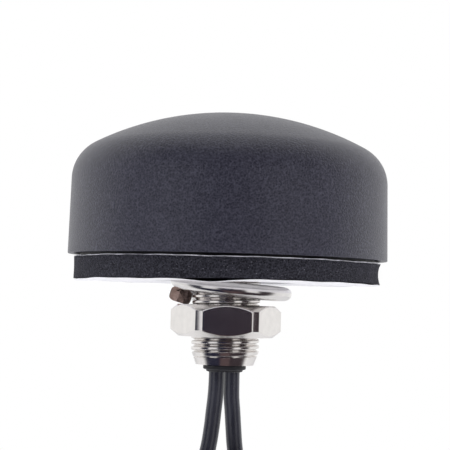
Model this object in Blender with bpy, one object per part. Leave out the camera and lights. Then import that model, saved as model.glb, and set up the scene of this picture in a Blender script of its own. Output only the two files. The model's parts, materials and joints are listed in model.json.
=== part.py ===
"""A screw-mount GNSS and cellular puck: a moulded housing on a hollow M12 stud, with two coaxial leads.

The frame is +Z up, with the origin on the stud's axis in the plane where the foam gasket meets the panel.
"""

import math

import bmesh
import bpy
from mathutils import Matrix, Vector

MM = 0.001

# --- Clearances between neighbours ---
FIT_GAP = 0.3 * MM
SEAT_GAP = 0.1 * MM
LAYER_GAP = 0.05 * MM
SEAL_SIDE_GAP = 0.15 * MM
SCREW_HOLE_GAP = 0.12 * MM
ROUND_STEPS = 40

# --- Seal stack under the base, from the panel up ---
LINER_THICKNESS = 0.2 * MM
FOAM_THICKNESS = 3.45 * MM
FILM_THICKNESS = 0.2 * MM
GASKET_INSET = 1.2 * MM
FOAM_Z = LINER_THICKNESS + LAYER_GAP
FILM_Z = FOAM_Z + FOAM_THICKNESS + LAYER_GAP
BASE_Z = FILM_Z + FILM_THICKNESS + LAYER_GAP

# --- Dome ---
DOME_RADIUS = 28.0 * MM
DOME_TOP_Z = 29.6 * MM
RIM_Z = BASE_Z + FIT_GAP
CROWN_RADIUS = 51.0 * MM
SHOULDER_RADIUS = 7.0 * MM
SKIRT_DRAFT = 0.25 * MM
DOME_WALL = 1.8 * MM
SHOULDER_X = DOME_RADIUS - SKIRT_DRAFT - SHOULDER_RADIUS
SHOULDER_Z = DOME_TOP_Z - CROWN_RADIUS + math.sqrt((CROWN_RADIUS - SHOULDER_RADIUS) ** 2 - SHOULDER_X**2)

# --- Base plate, which fits inside the dome's skirt with an O-ring in its edge ---
BASE_THICKNESS = 3.2 * MM
BASE_TOP_Z = BASE_Z + BASE_THICKNESS
BASE_RADIUS = DOME_RADIUS - DOME_WALL - FIT_GAP
SEAL_SECTION = 1.0 * MM
SEAL_GROOVE_WIDTH = SEAL_SECTION + 2 * SEAL_SIDE_GAP
SEAL_LAND = 0.7 * MM
SEAL_GROOVE_Z = BASE_TOP_Z - SEAL_LAND - SEAL_GROOVE_WIDTH / 2

# --- Housing screws, which rise through the base into the dome's bosses ---
BOSS_COUNT = 4
BOSS_RADIUS = 2.1 * MM
BOSS_INSET = 3.5 * MM
BOSS_CIRCLE = BASE_RADIUS - BOSS_INSET
HOUSING_SCREW_RADIUS = 1.1 * MM
HOUSING_SCREW_HEAD = 2.0 * MM
HOUSING_SCREW_LENGTH = 11.0 * MM
SCREW_TIP_ROOM = 1.9 * MM
COUNTERSINK_RIM = 0.3 * MM
COUNTERSUNK_EDGE = 0.2 * MM
SCREW_HEAD_HEIGHT = 1.2 * MM
HOUSING_RECESS_WIDTH = 0.5 * MM
RECESS_REACH = 0.62

# --- Stud, M12 x 1, right-hand ---
THREAD_RADIUS = 6.0 * MM
THREAD_PITCH = 1.0 * MM
THREAD_DEPTH = 0.58 * MM
THREAD_STEPS = 14
THREAD_FOOT = 0.42
THREAD_END_GAP = 0.6 * MM
THREAD_CLEARANCE = 0.2 * MM
STUD_END_Z = -14.4 * MM
STUD_LEAD_IN = 2.8 * MM
STUD_END_TAPER = 0.9 * MM
STUD_END_RADIUS = THREAD_RADIUS - STUD_END_TAPER
FLANGE_REACH = 2.0 * MM
FLANGE_ACROSS_FLATS = 2 * (THREAD_RADIUS + FLANGE_REACH)
FLANGE_THICKNESS = 1.6 * MM
STUD_SEAL_SECTION = 0.8 * MM
STUD_SEAL_LAND = 0.45 * MM
STUD_SEAL_RADIUS = THREAD_RADIUS + THREAD_CLEARANCE + STUD_SEAL_LAND + SEAL_SIDE_GAP + STUD_SEAL_SECTION / 2

# --- Spring washer, pushed to one side on the stud and leaning ---
WASHER_WIDTH = 3.9 * MM
WASHER_THICKNESS = 2.4 * MM
WASHER_BORE_CLEARANCE = 0.95 * MM
WASHER_MEAN_RADIUS = THREAD_RADIUS + WASHER_BORE_CLEARANCE + WASHER_WIDTH / 2
WASHER_OFFSET = WASHER_BORE_CLEARANCE - FIT_GAP
WASHER_RISE = 2.6 * MM
WASHER_EDGE = 0.55 * MM
WASHER_SPLIT_ANGLE = 186.0
WASHER_SPLIT_GAP = 6.0
WASHER_MID_Z = -1.6 * MM
WASHER_TILT_RIGHT = 2.0
WASHER_TILT_FRONT = 2.6
WASHER_LEAN_ROOM = 0.1 * MM
WASHER_STEPS = 32

# --- Nuts: one under the washer, one inside the gasket's hole ---
NUT_WALL = 2.75 * MM
NUT_ACROSS_FLATS = 2 * (THREAD_RADIUS + NUT_WALL)
NUT_CORNER_REACH = 0.96 * MM
NUT_TURNED_RADIUS = NUT_ACROSS_FLATS / 2 + NUT_CORNER_REACH
NUT_FACE_INSET = 0.3 * MM
NUT_CHAMFER_RADIUS = NUT_ACROSS_FLATS / 2 - NUT_FACE_INSET
NUT_HEIGHT = 5.5 * MM
NUT_TOP_Z = WASHER_MID_Z - (WASHER_RISE + WASHER_THICKNESS) / 2 + WASHER_LEAN_ROOM
NUT_CHAMFER_ANGLE = 42.0
NUT_TURN = 1.7
JAM_NUT_WALL = 2.5 * MM
JAM_NUT_ACROSS_FLATS = 2 * (THREAD_RADIUS + JAM_NUT_WALL)
JAM_NUT_HEIGHT = 2.2 * MM
JAM_NUT_CHAMFER = 0.7 * MM
JAM_NUT_TURN = 15.0
GASKET_WRENCH_ROOM = 3.8 * MM
GASKET_HOLE_RADIUS = JAM_NUT_ACROSS_FLATS / 2 + GASKET_WRENCH_ROOM

# --- Leads, and the plug that holds them in the stud's bore ---
CABLE_DIAMETER = 2.7 * MM
CABLE_BEVEL_RESOLUTION = 2
CABLE_POINT_SPACING = 1.1 * CABLE_DIAMETER
CABLE_GAP = 0.06 * MM
CABLE_SPACING = CABLE_DIAMETER + CABLE_GAP
PLUG_CLEARANCE = 0.12 * MM
CABLE_HOLE_RADIUS = CABLE_DIAMETER / 2 + PLUG_CLEARANCE
PLUG_WALL = 0.43 * MM
STUD_BORE_RADIUS = CABLE_SPACING / 2 + CABLE_HOLE_RADIUS + PLUG_WALL + PLUG_CLEARANCE
PLUG_RIM = 0.35 * MM
PLUG_FLANGE_RADIUS = STUD_BORE_RADIUS + PLUG_RIM
PLUG_FLANGE_THICKNESS = 0.8 * MM
PLUG_LIP_INSET = 0.65 * MM
PLUG_LIP_RADIUS = PLUG_FLANGE_RADIUS - PLUG_LIP_INSET
PLUG_LIP_THICKNESS = 0.4 * MM
PLUG_DEPTH = 5.0 * MM
PLUG_END_Z = STUD_END_Z - SEAT_GAP - PLUG_FLANGE_THICKNESS - PLUG_LIP_THICKNESS
LEAD_START_Z = PLUG_END_Z - FIT_GAP

# --- Coil of each lead's spare length, hanging from the lead itself ---
TURN_GAP = 0.1 * MM
TURN_SPACING = CABLE_DIAMETER + TURN_GAP
COIL_LAYERS = 5
COIL_TURNS = 5
COIL_OUTER_TURN = 24.7 * MM
COIL_INNER_TURN = COIL_OUTER_TURN - (COIL_LAYERS - 1) * TURN_SPACING
COIL_END_PLANE = (COIL_TURNS - 1) / 2 * TURN_SPACING
COIL_HALF_WIDTH = COIL_END_PLANE + CABLE_DIAMETER / 2 + TURN_GAP
COIL_OUTSIDE = COIL_OUTER_TURN + CABLE_DIAMETER / 2 + TURN_GAP
COIL_INSIDE = COIL_INNER_TURN - CABLE_DIAMETER / 2 - TURN_GAP
COIL_EDGE = 2.0 * MM
COIL_STEPS = 28
COIL_JOIN_RISE = 0.77 * MM
COIL_JOIN_ANGLE = 131.6
TIE_ANGLE = 128.0
TIE_WIDTH = 2.5 * MM
TIE_THICKNESS = 0.7 * MM

# Each lead's run from the plug down to its coil, in millimetres from where it leaves the plug.
LEAD_A_ROUTE = (
    (0.0, 0.0, 0.0), (-0.03, 0.0, -2.1), (-0.16, 0.0, -4.4), (-0.31, 0.0, -6.6), (-0.49, 0.0, -8.7),
    (-0.74, -0.1, -10.8), (-1.07, -0.3, -12.9), (-1.67, -0.7, -15.2), (-2.67, -1.3, -17.5),
    (-4.22, -2.0, -19.7), (-6.32, -2.6, -21.6), (-8.62, -2.85, -23.1), (-11.22, -2.85, -24.95),
)
LEAD_B_ROUTE = (
    (0.0, 0.0, 0.0), (0.02, 0.0, -2.1), (0.07, 0.0, -4.2), (0.19, 0.0, -6.1), (0.36, 0.0, -8.1),
    (0.54, 0.1, -10.2), (0.74, 0.3, -12.3), (1.12, 0.6, -14.7), (1.87, 1.1, -17.2),
    (3.22, 1.8, -19.8), (5.22, 2.5, -22.1), (7.62, 2.85, -23.9), (10.37, 2.85, -25.7),
)
# From the end of the coil's last turn to the connector, in millimetres from there.
END_ROUTE = (
    (0.0, 0.0, 0.0), (-2.6, -1.0, -0.2), (-5.2, -2.8, -1.2), (-7.6, -4.8, -3.3),
    (-9.6, -6.2, -6.3), (-10.9, -6.9, -9.9), (-11.5, -7.1, -13.5), (-11.6, -7.1, -16.1),
)

# --- Connector on each lead's far end, an SMA plug ---
BOOT_WALL = 0.95 * MM
BOOT_RADIUS = CABLE_DIAMETER / 2 + BOOT_WALL
BOOT_LENGTH = 9.0 * MM
BOOT_SHOULDER = 6.75 * MM
BOOT_TAPER = 0.6 * MM
CONNECTOR_BODY_RADIUS = 3.0 * MM
CONNECTOR_BODY_LENGTH = 2.6 * MM
CONNECTOR_SHELL_RADIUS = 2.3 * MM
CONNECTOR_SHELL_LENGTH = 3.8 * MM
CONNECTOR_SHELL_WALL = 0.35 * MM
CONNECTOR_NECK_RADIUS = CONNECTOR_SHELL_RADIUS - SEAT_GAP
CONNECTOR_NECK_LENGTH = 1.4 * MM
CONNECTOR_SOCKET_RADIUS = CONNECTOR_SHELL_RADIUS - CONNECTOR_SHELL_WALL
INSULATOR_RADIUS = CONNECTOR_SOCKET_RADIUS - SEAT_GAP
INSULATOR_RECESS = 1.6 * MM
CONTACT_RADIUS = 0.46 * MM
CONTACT_TIP = 0.5 * MM
COUPLING_ACROSS_FLATS = 8.0 * MM
COUPLING_LENGTH = 7.6 * MM
COUPLING_CHAMFER = 0.5 * MM
COUPLING_BORE_RADIUS = 3.175 * MM
COUPLING_THROAT_RADIUS = CONNECTOR_SHELL_RADIUS + 2 * SEAT_GAP

# --- Electronics, on standoffs above the base and clear of the bosses ---
STANDOFF_HEIGHT = 8.4 * MM
BOARD_Z = BASE_TOP_Z + STANDOFF_HEIGHT
BOARD_THICKNESS = 1.2 * MM
BOARD_GAP = 0.7 * MM
BOARD_RADIUS = BOSS_CIRCLE - BOSS_RADIUS - BOARD_GAP
STANDOFF_RADIUS = 2.2 * MM
STANDOFF_INSET = 2.6 * MM
STANDOFF_CIRCLE = BOARD_RADIUS - STANDOFF_INSET
STANDOFF_ROOT = 0.5 * MM
STANDOFF_ANGLES = (30.0, 150.0, 270.0)
BOARD_SCREW_RADIUS = 0.9 * MM
BOARD_SCREW_HEAD = 1.7 * MM
BOARD_SCREW_LENGTH = 6.0 * MM
BOARD_RECESS_WIDTH = 0.4 * MM
PATCH_SIDE = 25.0 * MM
PATCH_HEIGHT = 4.0 * MM
PATCH_EDGE = 0.3 * MM
PATCH_PAD_THICKNESS = 0.4 * MM
PATCH_PAD_INSET = 1.0 * MM
ELECTRODE_SIDE = 20.6 * MM
ELECTRODE_CORNER = 1.6 * MM
ELECTRODE_THICKNESS = 0.15 * MM
FEED_PIN_RADIUS = 0.5 * MM
FEED_PIN_HEAD = 1.1 * MM
FEED_PIN_CROWN = 0.8 * MM
FEED_PIN_HEAD_HEIGHT = 0.55 * MM
FEED_PIN_HEAD_STEP = 0.4 * MM
FEED_PIN_X = 2.4 * MM
CAN_WALL = 0.3 * MM
CAN_EDGE = 0.4 * MM
CHIP_EDGE = 0.15 * MM
RECEIVER_CAN = (15.0 * MM, 10.5 * MM, 3.0 * MM)
RECEIVER_CAN_Y = 9.2 * MM
RECEIVER_CHIP = (9.7 * MM, 7.6 * MM, 2.0 * MM)
LNA_CAN = (10.0 * MM, 7.5 * MM, 2.2 * MM)
LNA_CAN_Y = -8.6 * MM
LNA_CHIP = (5.0 * MM, 4.0 * MM, 1.2 * MM)
CABLE_BOARD_GAP = 0.25 * MM
TAIL_LEVEL_Z = BOARD_Z - CABLE_BOARD_GAP - CABLE_DIAMETER / 2
TAIL_BEND = 4.6 * MM
CRIMP_WALL = 0.5 * MM
CLIP_THICKNESS = 0.3 * MM
CLIP_LENGTH = 2.0 * MM
CLIP_X = 9.6 * MM
CLIP_TAIL = 2.4 * MM
STRIP_THICKNESS = 0.25 * MM
STRIP_GAP = 0.4 * MM
STRIP_Z = BASE_TOP_Z + 1.0 * MM
STRIP_HEIGHT = 8.2 * MM
STRIP_RISE = max(0.0, STRIP_Z + STRIP_HEIGHT - SHOULDER_Z)
STRIP_WALL_RADIUS = SHOULDER_X + math.sqrt((SHOULDER_RADIUS - DOME_WALL) ** 2 - STRIP_RISE**2)
STRIP_RADIUS = STRIP_WALL_RADIUS - STRIP_THICKNESS - STRIP_GAP
STRIP_START = -14.0
STRIP_END = 292.0
STRIP_STEP = 9.0
TAB_LENGTH = 3.7 * MM
TAB_WIDTH = 2.0 * MM
TAB_THICKNESS = 0.4 * MM
TAIL_A_END_X = CLIP_X + CLIP_TAIL
TAIL_B_END_X = STRIP_RADIUS - TAB_LENGTH

COLOURS = {
    "textured_plastic": ((0.047, 0.047, 0.062), 0.62, 0.0),
    "base_plastic": ((0.03, 0.03, 0.035), 0.5, 0.0),
    "foam": ((0.028, 0.028, 0.036), 0.95, 0.0),
    "adhesive_film": ((0.62, 0.62, 0.68), 0.35, 0.0),
    "liner_paper": ((0.88, 0.88, 0.92), 0.5, 0.0),
    "nickel": ((0.74, 0.71, 0.69), 0.18, 1.0),
    "washer_steel": ((0.66, 0.64, 0.62), 0.2, 1.0),
    "rubber": ((0.02, 0.02, 0.025), 0.7, 0.0),
    "cable_jacket": ((0.045, 0.045, 0.056), 0.42, 0.0),
    "screw_steel": ((0.55, 0.55, 0.56), 0.3, 1.0),
    "board_green": ((0.02, 0.16, 0.07), 0.4, 0.0),
    "ceramic": ((0.62, 0.55, 0.42), 0.45, 0.0),
    "silver": ((0.82, 0.81, 0.78), 0.3, 1.0),
    "tinned_steel": ((0.7, 0.7, 0.7), 0.28, 1.0),
    "chip": ((0.03, 0.03, 0.03), 0.5, 0.0),
    "copper_flex": ((0.75, 0.38, 0.2), 0.3, 1.0),
    "gold": ((0.86, 0.62, 0.24), 0.22, 1.0),
    "insulator_white": ((0.86, 0.86, 0.84), 0.4, 0.0),
    "tie_nylon": ((0.03, 0.03, 0.03), 0.45, 0.0),
}


# --- Building blocks ---


def material(slot):
    """The Principled material of a slot, made once."""
    found = bpy.data.materials.get(slot)
    if found:
        return found
    colour, roughness, metallic = COLOURS[slot]
    made = bpy.data.materials.new(slot)
    made.use_nodes = True
    shader = made.node_tree.nodes["Principled BSDF"]
    shader.inputs["Base Color"].default_value = (*colour, 1.0)
    shader.inputs["Roughness"].default_value = roughness
    shader.inputs["Metallic"].default_value = metallic
    made.diffuse_color = (*colour, 1.0)
    return made


def placed(name, data, slot, matrix=None):
    """A named object in the scene, with its material."""
    obj = bpy.data.objects.new(name, data)
    bpy.context.scene.collection.objects.link(obj)
    if slot and not data.materials:
        data.materials.append(material(slot))
    if matrix is not None:
        obj.matrix_world = matrix
    return obj


def finished(bm, name, smooth_angle=30.0):
    """A mesh from bm, with doubles merged, faces pointing out and round faces smooth."""
    bmesh.ops.remove_doubles(bm, verts=bm.verts, dist=1e-6)
    bmesh.ops.recalc_face_normals(bm, faces=bm.faces)
    mesh = bpy.data.meshes.new(name)
    bm.to_mesh(mesh)
    bm.free()
    mesh.shade_smooth()
    mesh.set_sharp_from_angle(angle=math.radians(smooth_angle))
    return mesh


def turned_mesh(name, profile, steps=ROUND_STEPS, closed=True):
    """A profile of (radius, height) points spun round Z. An open profile starts and ends on the axis."""
    bm = bmesh.new()
    verts = [bm.verts.new((r, 0.0, z)) for r, z in profile]
    pairs = list(zip(verts, verts[1:])) + ([(verts[-1], verts[0])] if closed else [])
    edges = [bm.edges.new(pair) for pair in pairs]
    bmesh.ops.spin(
        bm, geom=verts + edges, cent=(0, 0, 0), axis=(0, 0, 1), angle=math.tau, steps=steps, use_merge=True
    )
    return finished(bm, name)


def turned(name, profile, slot, steps=ROUND_STEPS, closed=True, matrix=None):
    return placed(name, turned_mesh(name, profile, steps, closed), slot, matrix)


def box_ring(inner, outer, low, high):
    """The profile of a plain ring."""
    return [(inner, low), (outer, low), (outer, high), (inner, high)]


def rod_profile(radius, low, high):
    """The profile of a plain cylinder."""
    return [(0.0, low), (radius, low), (radius, high), (0.0, high)]


def prism_mesh(name, outline, low, high):
    """An outline of (x, y) points, counter-clockwise, extruded along Z."""
    bm = bmesh.new()
    face = bm.faces.new([bm.verts.new((x, y, low)) for x, y in outline])
    grown = bmesh.ops.extrude_face_region(bm, geom=[face])
    moved = [v for v in grown["geom"] if isinstance(v, bmesh.types.BMVert)]
    bmesh.ops.translate(bm, verts=moved, vec=(0, 0, high - low))
    return finished(bm, name)


def hexagon(across_flats, turn=0.0):
    """A hexagon with a flat facing -Y before it turns."""
    corner = across_flats / math.sqrt(3)
    angles = [math.radians(turn + 60 * i) for i in range(6)]
    return [(corner * math.cos(a), corner * math.sin(a)) for a in angles]


def rectangle(width, depth, x=0.0, y=0.0):
    return [
        (x - width / 2, y - depth / 2),
        (x + width / 2, y - depth / 2),
        (x + width / 2, y + depth / 2),
        (x - width / 2, y + depth / 2),
    ]


def stadium(half_gap, radius, steps=8):
    """A racetrack round two circles at x = +half_gap and -half_gap."""
    points = []
    for side in (1, -1):
        for i in range(steps + 1):
            angle = math.pi * (i / steps - 0.5)
            points.append((side * (half_gap + radius * math.cos(angle)), side * radius * math.sin(angle)))
    return points


def cutter(name, mesh, matrix=None):
    """A helper that a Boolean uses and nothing shows."""
    obj = placed("cutter_" + name, mesh, None, matrix)
    obj.hide_render = True
    obj.display_type = "WIRE"
    return obj


def combine(target, other, operation):
    modifier = target.modifiers.new(operation.title() + "_" + other.name, "BOOLEAN")
    modifier.operation = operation
    modifier.object = other
    modifier.solver = "EXACT"


def cut(target, other):
    combine(target, other, "DIFFERENCE")


def spot(radius, angle, z=0.0):
    """A point on a circle round Z, with the angle in degrees."""
    return Vector((radius * math.cos(math.radians(angle)), radius * math.sin(math.radians(angle)), z))


def smooth_line(points, spacing):
    """Points about spacing apart on a Catmull-Rom curve through the given ones."""
    points = [Vector(p) for p in points]
    ends = [2 * points[0] - points[1], *points, 2 * points[-1] - points[-2]]
    line = [points[0]]
    for i in range(1, len(ends) - 2):
        a, b, c, d = ends[i - 1 : i + 3]
        steps = max(1, round((c - b).length / spacing))
        for k in range(1, steps + 1):
            t = k / steps
            bend = (2 * a - 5 * b + 4 * c - d) * t * t + (3 * b - a - 3 * c + d) * t**3
            line.append(0.5 * (2 * b + (c - a) * t + bend))
    return line


def tube(name, points, diameter, slot):
    """A round cable along the points, as a bevelled curve."""
    curve = bpy.data.curves.new(name, "CURVE")
    curve.dimensions = "3D"
    spline = curve.splines.new("POLY")
    spline.points.add(len(points) - 1)
    for point, place in zip(spline.points, points):
        point.co = (*place, 1.0)
    curve.bevel_depth = diameter / 2
    curve.bevel_resolution = CABLE_BEVEL_RESOLUTION
    curve.use_fill_caps = True
    return placed(name, curve, slot)


def bevelled_box(name, width, depth, low, high, slot, edge, x=0.0, y=0.0):
    """A block with its edges rounded by a Bevel modifier."""
    obj = placed(name, prism_mesh(name, rectangle(width, depth, x, y), low, high), slot)
    bevel = obj.modifiers.new("Edges", "BEVEL")
    bevel.width = edge
    bevel.segments = 1
    bevel.limit_method = "ANGLE"
    return obj


# --- Dome and base ---


def skirt_radius(z, inset=0.0):
    """The dome's drafted skirt, narrowing slowly from the rim to the shoulder."""
    share = (z - RIM_Z) / (SHOULDER_Z - RIM_Z)
    return DOME_RADIUS - inset - SKIRT_DRAFT * share


def dome_profile(inset, steps):
    """The dome's section from its top down to the rim, moved inwards by inset."""
    crown_centre = DOME_TOP_Z - CROWN_RADIUS
    meeting = math.atan2(SHOULDER_X, SHOULDER_Z - crown_centre)
    points = []
    for i in range(steps):
        angle = meeting * i / steps
        radius = CROWN_RADIUS - inset
        points.append((radius * math.sin(angle), crown_centre + radius * math.cos(angle)))
    for i in range(steps + 1):
        angle = meeting + (math.pi / 2 - meeting) * i / steps
        radius = SHOULDER_RADIUS - inset
        points.append((SHOULDER_X + radius * math.sin(angle), SHOULDER_Z + radius * math.cos(angle)))
    points.append((skirt_radius(RIM_Z, inset), RIM_Z))
    return points


def boss_angles():
    return [45.0 + 360.0 / BOSS_COUNT * i for i in range(BOSS_COUNT)]


def make_radome():
    outer = dome_profile(0.0, 6)
    inner = dome_profile(DOME_WALL, 3)
    radome = turned("radome", outer + inner[::-1], "textured_plastic", closed=False)
    # Each boss grows up to the middle of the dome's wall, wherever that is above it.
    middle = [*dome_profile(DOME_WALL / 2, 6), (0.0, RIM_Z)]
    core = cutter("dome_core", turned_mesh("dome_core", middle, closed=False))
    low = BASE_TOP_Z + FIT_GAP
    boss = turned_mesh("boss", rod_profile(BOSS_RADIUS, low, DOME_TOP_Z), 16, closed=False)
    tip = BASE_Z + SEAT_GAP + HOUSING_SCREW_LENGTH
    bore = rod_profile(HOUSING_SCREW_RADIUS + SCREW_HOLE_GAP, BASE_TOP_Z, tip + SCREW_TIP_ROOM)
    hole = turned_mesh("boss_hole", bore, 12, closed=False)
    for i, angle in enumerate(boss_angles()):
        place = Matrix.Translation(spot(BOSS_CIRCLE, angle))
        grown = cutter(f"boss_{i}", boss, place)
        combine(grown, core, "INTERSECT")
        combine(radome, grown, "UNION")
        cut(radome, cutter(f"boss_hole_{i}", hole, place))


def make_base():
    """The plate that closes the dome, with a seal groove, a hexagonal seat for the stud, and standoffs."""
    groove_top = SEAL_GROOVE_Z + SEAL_GROOVE_WIDTH / 2
    groove_low = SEAL_GROOVE_Z - SEAL_GROOVE_WIDTH / 2
    bore = THREAD_RADIUS + THREAD_CLEARANCE
    floor = pocket_floor()
    half_groove = STUD_SEAL_SECTION / 2 + SEAL_SIDE_GAP
    groove = (STUD_SEAL_RADIUS - half_groove, STUD_SEAL_RADIUS + half_groove)
    groove_floor = floor - STUD_SEAL_SECTION - SEAT_GAP
    profile = [
        (bore, BASE_Z),
        (BASE_RADIUS, BASE_Z),
        (BASE_RADIUS, groove_low),
        (BASE_RADIUS - SEAL_SECTION, groove_low),
        (BASE_RADIUS - SEAL_SECTION, groove_top),
        (BASE_RADIUS, groove_top),
        (BASE_RADIUS, BASE_TOP_Z),
        (bore, BASE_TOP_Z),
    ]
    base = turned("base_plate", profile, "base_plastic")
    pocket = hexagon(FLANGE_ACROSS_FLATS + 2 * THREAD_CLEARANCE)
    cut(base, cutter("stud_pocket", prism_mesh("pocket", pocket, floor, BASE_TOP_Z + FIT_GAP)))
    ring = turned_mesh("seal_groove", box_ring(*groove, groove_floor, floor + FIT_GAP), 24)
    cut(base, cutter("seal_groove", ring))
    post = rod_profile(STANDOFF_RADIUS, BASE_TOP_Z - STANDOFF_ROOT, BOARD_Z - SEAT_GAP)
    standoff = turned_mesh("standoff", post, 16, closed=False)
    pilot_low = BOARD_Z - BOARD_SCREW_LENGTH - FIT_GAP
    pilot_hole = rod_profile(BOARD_SCREW_RADIUS + SCREW_HOLE_GAP, pilot_low, BOARD_Z + FIT_GAP)
    pilot = turned_mesh("pilot", pilot_hole, 12, closed=False)
    for i, angle in enumerate(STANDOFF_ANGLES):
        place = Matrix.Translation(spot(STANDOFF_CIRCLE, angle))
        combine(base, cutter(f"standoff_{i}", standoff, place), "UNION")
        cut(base, cutter(f"pilot_{i}", pilot, place))
    through = HOUSING_SCREW_RADIUS + FIT_GAP
    sink = HOUSING_SCREW_HEAD + FIT_GAP
    countersink = [
        (0.0, BASE_Z - FIT_GAP),
        (sink, BASE_Z - FIT_GAP),
        (sink, BASE_Z + COUNTERSINK_RIM),
        (through, BASE_Z + COUNTERSINK_RIM + sink - through),
        (through, BASE_TOP_Z + FIT_GAP),
        (0.0, BASE_TOP_Z + FIT_GAP),
    ]
    hole = turned_mesh("countersink", countersink, 16, closed=False)
    for i, angle in enumerate(boss_angles()):
        cut(base, cutter(f"countersink_{i}", hole, Matrix.Translation(spot(BOSS_CIRCLE, angle))))


def circle_profile(radius, centre_radius, z, steps=6):
    """The section of a round ring."""
    angles = [math.tau * i / steps for i in range(steps)]
    return [(centre_radius + radius * math.cos(a), z + radius * math.sin(a)) for a in angles]


def make_seals():
    middle = BASE_RADIUS - SEAL_SECTION + SEAL_SECTION / 2 + SEAL_SIDE_GAP
    turned("perimeter_seal", circle_profile(SEAL_SECTION / 2, middle, SEAL_GROOVE_Z), "rubber")
    seat = pocket_floor() - STUD_SEAL_SECTION / 2
    turned("stud_seal", circle_profile(STUD_SEAL_SECTION / 2, STUD_SEAL_RADIUS, seat), "rubber", 24)


def make_gasket():
    """The foam ring with its adhesive film above and its release liner below."""
    outer = DOME_RADIUS - GASKET_INSET
    layers = (
        ("release_liner", "liner_paper", 0.0, LINER_THICKNESS),
        ("foam_gasket", "foam", FOAM_Z, FOAM_THICKNESS),
        ("adhesive_film", "adhesive_film", FILM_Z, FILM_THICKNESS),
    )
    for name, slot, low, thickness in layers:
        turned(name, box_ring(GASKET_HOLE_RADIUS, outer, low, low + thickness), slot)


def screw_mesh(name, radius, head_radius, head_height, length, countersunk, recess_width):
    """A screw that points along +Z from its head's seat at 0, with a cross recess in its head."""
    if countersunk:
        profile = [
            (0.0, 0.0),
            (head_radius, 0.0),
            (head_radius, COUNTERSUNK_EDGE),
            (radius, COUNTERSUNK_EDGE + head_radius - radius),
            (radius, length - radius / 2),
            (radius / 2, length),
            (0.0, length),
        ]
        recess_low, recess_high = -FIT_GAP, head_height / 2
    else:
        profile = [
            (0.0, -head_height),
            (0.7 * head_radius, -head_height),
            (head_radius, -0.6 * head_height),
            (head_radius, 0.0),
            (radius, 0.0),
            (radius, length - radius / 2),
            (radius / 2, length),
            (0.0, length),
        ]
        recess_low, recess_high = -head_height - FIT_GAP, -0.4 * head_height
    cross = []
    arm, half = RECESS_REACH * head_radius, recess_width / 2
    for x, y in ((arm, -half), (arm, half), (half, half), (half, arm)):
        cross.append((x, y))
    outline = []
    for quarter in range(4):
        turn = Matrix.Rotation(quarter * math.pi / 2, 2)
        outline += [tuple(turn @ Vector(p)) for p in cross[:3]]
    body = placed("cutter_" + name, turned_mesh(name, profile, 12, closed=False), None)
    cut(body, cutter(name + "_recess", prism_mesh(name, outline, recess_low, recess_high)))
    graph = bpy.context.evaluated_depsgraph_get()
    mesh = bpy.data.meshes.new_from_object(body.evaluated_get(graph))
    body.hide_render = True
    body.display_type = "WIRE"
    return mesh


def make_screws():
    size = (HOUSING_SCREW_RADIUS, HOUSING_SCREW_HEAD, SCREW_HEAD_HEIGHT, HOUSING_SCREW_LENGTH)
    mesh = screw_mesh("housing_screw", *size, True, HOUSING_RECESS_WIDTH)
    for i, angle in enumerate(boss_angles()):
        place = Matrix.Translation(spot(BOSS_CIRCLE, angle, BASE_Z + SEAT_GAP))
        placed(f"housing_screw_{i + 1}", mesh, "screw_steel", place)
    size = (BOARD_SCREW_RADIUS, BOARD_SCREW_HEAD, SCREW_HEAD_HEIGHT, BOARD_SCREW_LENGTH)
    mesh = screw_mesh("board_screw", *size, False, BOARD_RECESS_WIDTH)
    upside_down = Matrix.Rotation(math.pi, 4, "X")
    for i, angle in enumerate(STANDOFF_ANGLES):
        place = Matrix.Translation(spot(STANDOFF_CIRCLE, angle, BOARD_Z + BOARD_THICKNESS + SEAT_GAP))
        placed(f"board_screw_{i + 1}", mesh, "screw_steel", place @ upside_down)


# --- Stud, nuts and washer ---


def pocket_floor():
    """The seat of the stud's hexagonal flange, whose top is level with the base's."""
    return BASE_TOP_Z - FLANGE_THICKNESS - SEAT_GAP


def threaded_column(turn_share, low, top):
    """The rod's side at one angle: valley, crest, valley for each thread, tapered at its end."""
    root = THREAD_RADIUS - THREAD_DEPTH
    foot = THREAD_FOOT * THREAD_PITCH
    slope = (THREAD_RADIUS - STUD_END_RADIUS) / STUD_LEAD_IN
    column = []
    for thread in range(-1, math.ceil((top - low) / THREAD_PITCH) + 2):
        for radius, offset in ((root, -foot), (THREAD_RADIUS, 0.0), (root, foot)):
            z = low + THREAD_PITCH * (thread + turn_share) + offset
            if z < low or z > top:
                radius, z = root, min(max(z, low), top)
            column.append((min(radius, STUD_END_RADIUS + slope * (z - low)), z))
    return column


def threaded_rod(low, top, high):
    """A right-hand thread from low to top, cut as one helical surface, and a plain rod on up to high."""
    bm = bmesh.new()
    columns, ends, caps = [], [], []
    for k in range(THREAD_STEPS):
        turn = Matrix.Rotation(math.tau * k / THREAD_STEPS, 3, "Z")
        column = threaded_column(k / THREAD_STEPS, low, top)
        columns.append([bm.verts.new(turn @ Vector((r, 0, z))) for r, z in column])
        ends.append(bm.verts.new(turn @ Vector((column[-1][0], 0, high))))
        caps.append(bm.verts.new(turn @ Vector((column[0][0], 0, low))))
    for k, column in enumerate(columns):
        # Past the last column the helix has climbed one thread, which is three points.
        wraps = 3 if k == THREAD_STEPS - 1 else 0
        after = (k + 1) % THREAD_STEPS
        beside = columns[after]
        for j in range(len(column) - 1 - wraps):
            bm.faces.new((column[j], beside[j + wraps], beside[j + wraps + 1], column[j + 1]))
        bm.faces.new((column[-1], beside[-1], ends[after], ends[k]))
    bm.faces.new(ends)
    bm.faces.new(caps[::-1])
    bmesh.ops.remove_doubles(bm, verts=bm.verts, dist=1e-6)
    loose = [edge for edge in bm.edges if not edge.link_faces]
    bmesh.ops.delete(bm, geom=loose, context="EDGES")
    return finished(bm, "threaded_rod")


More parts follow.
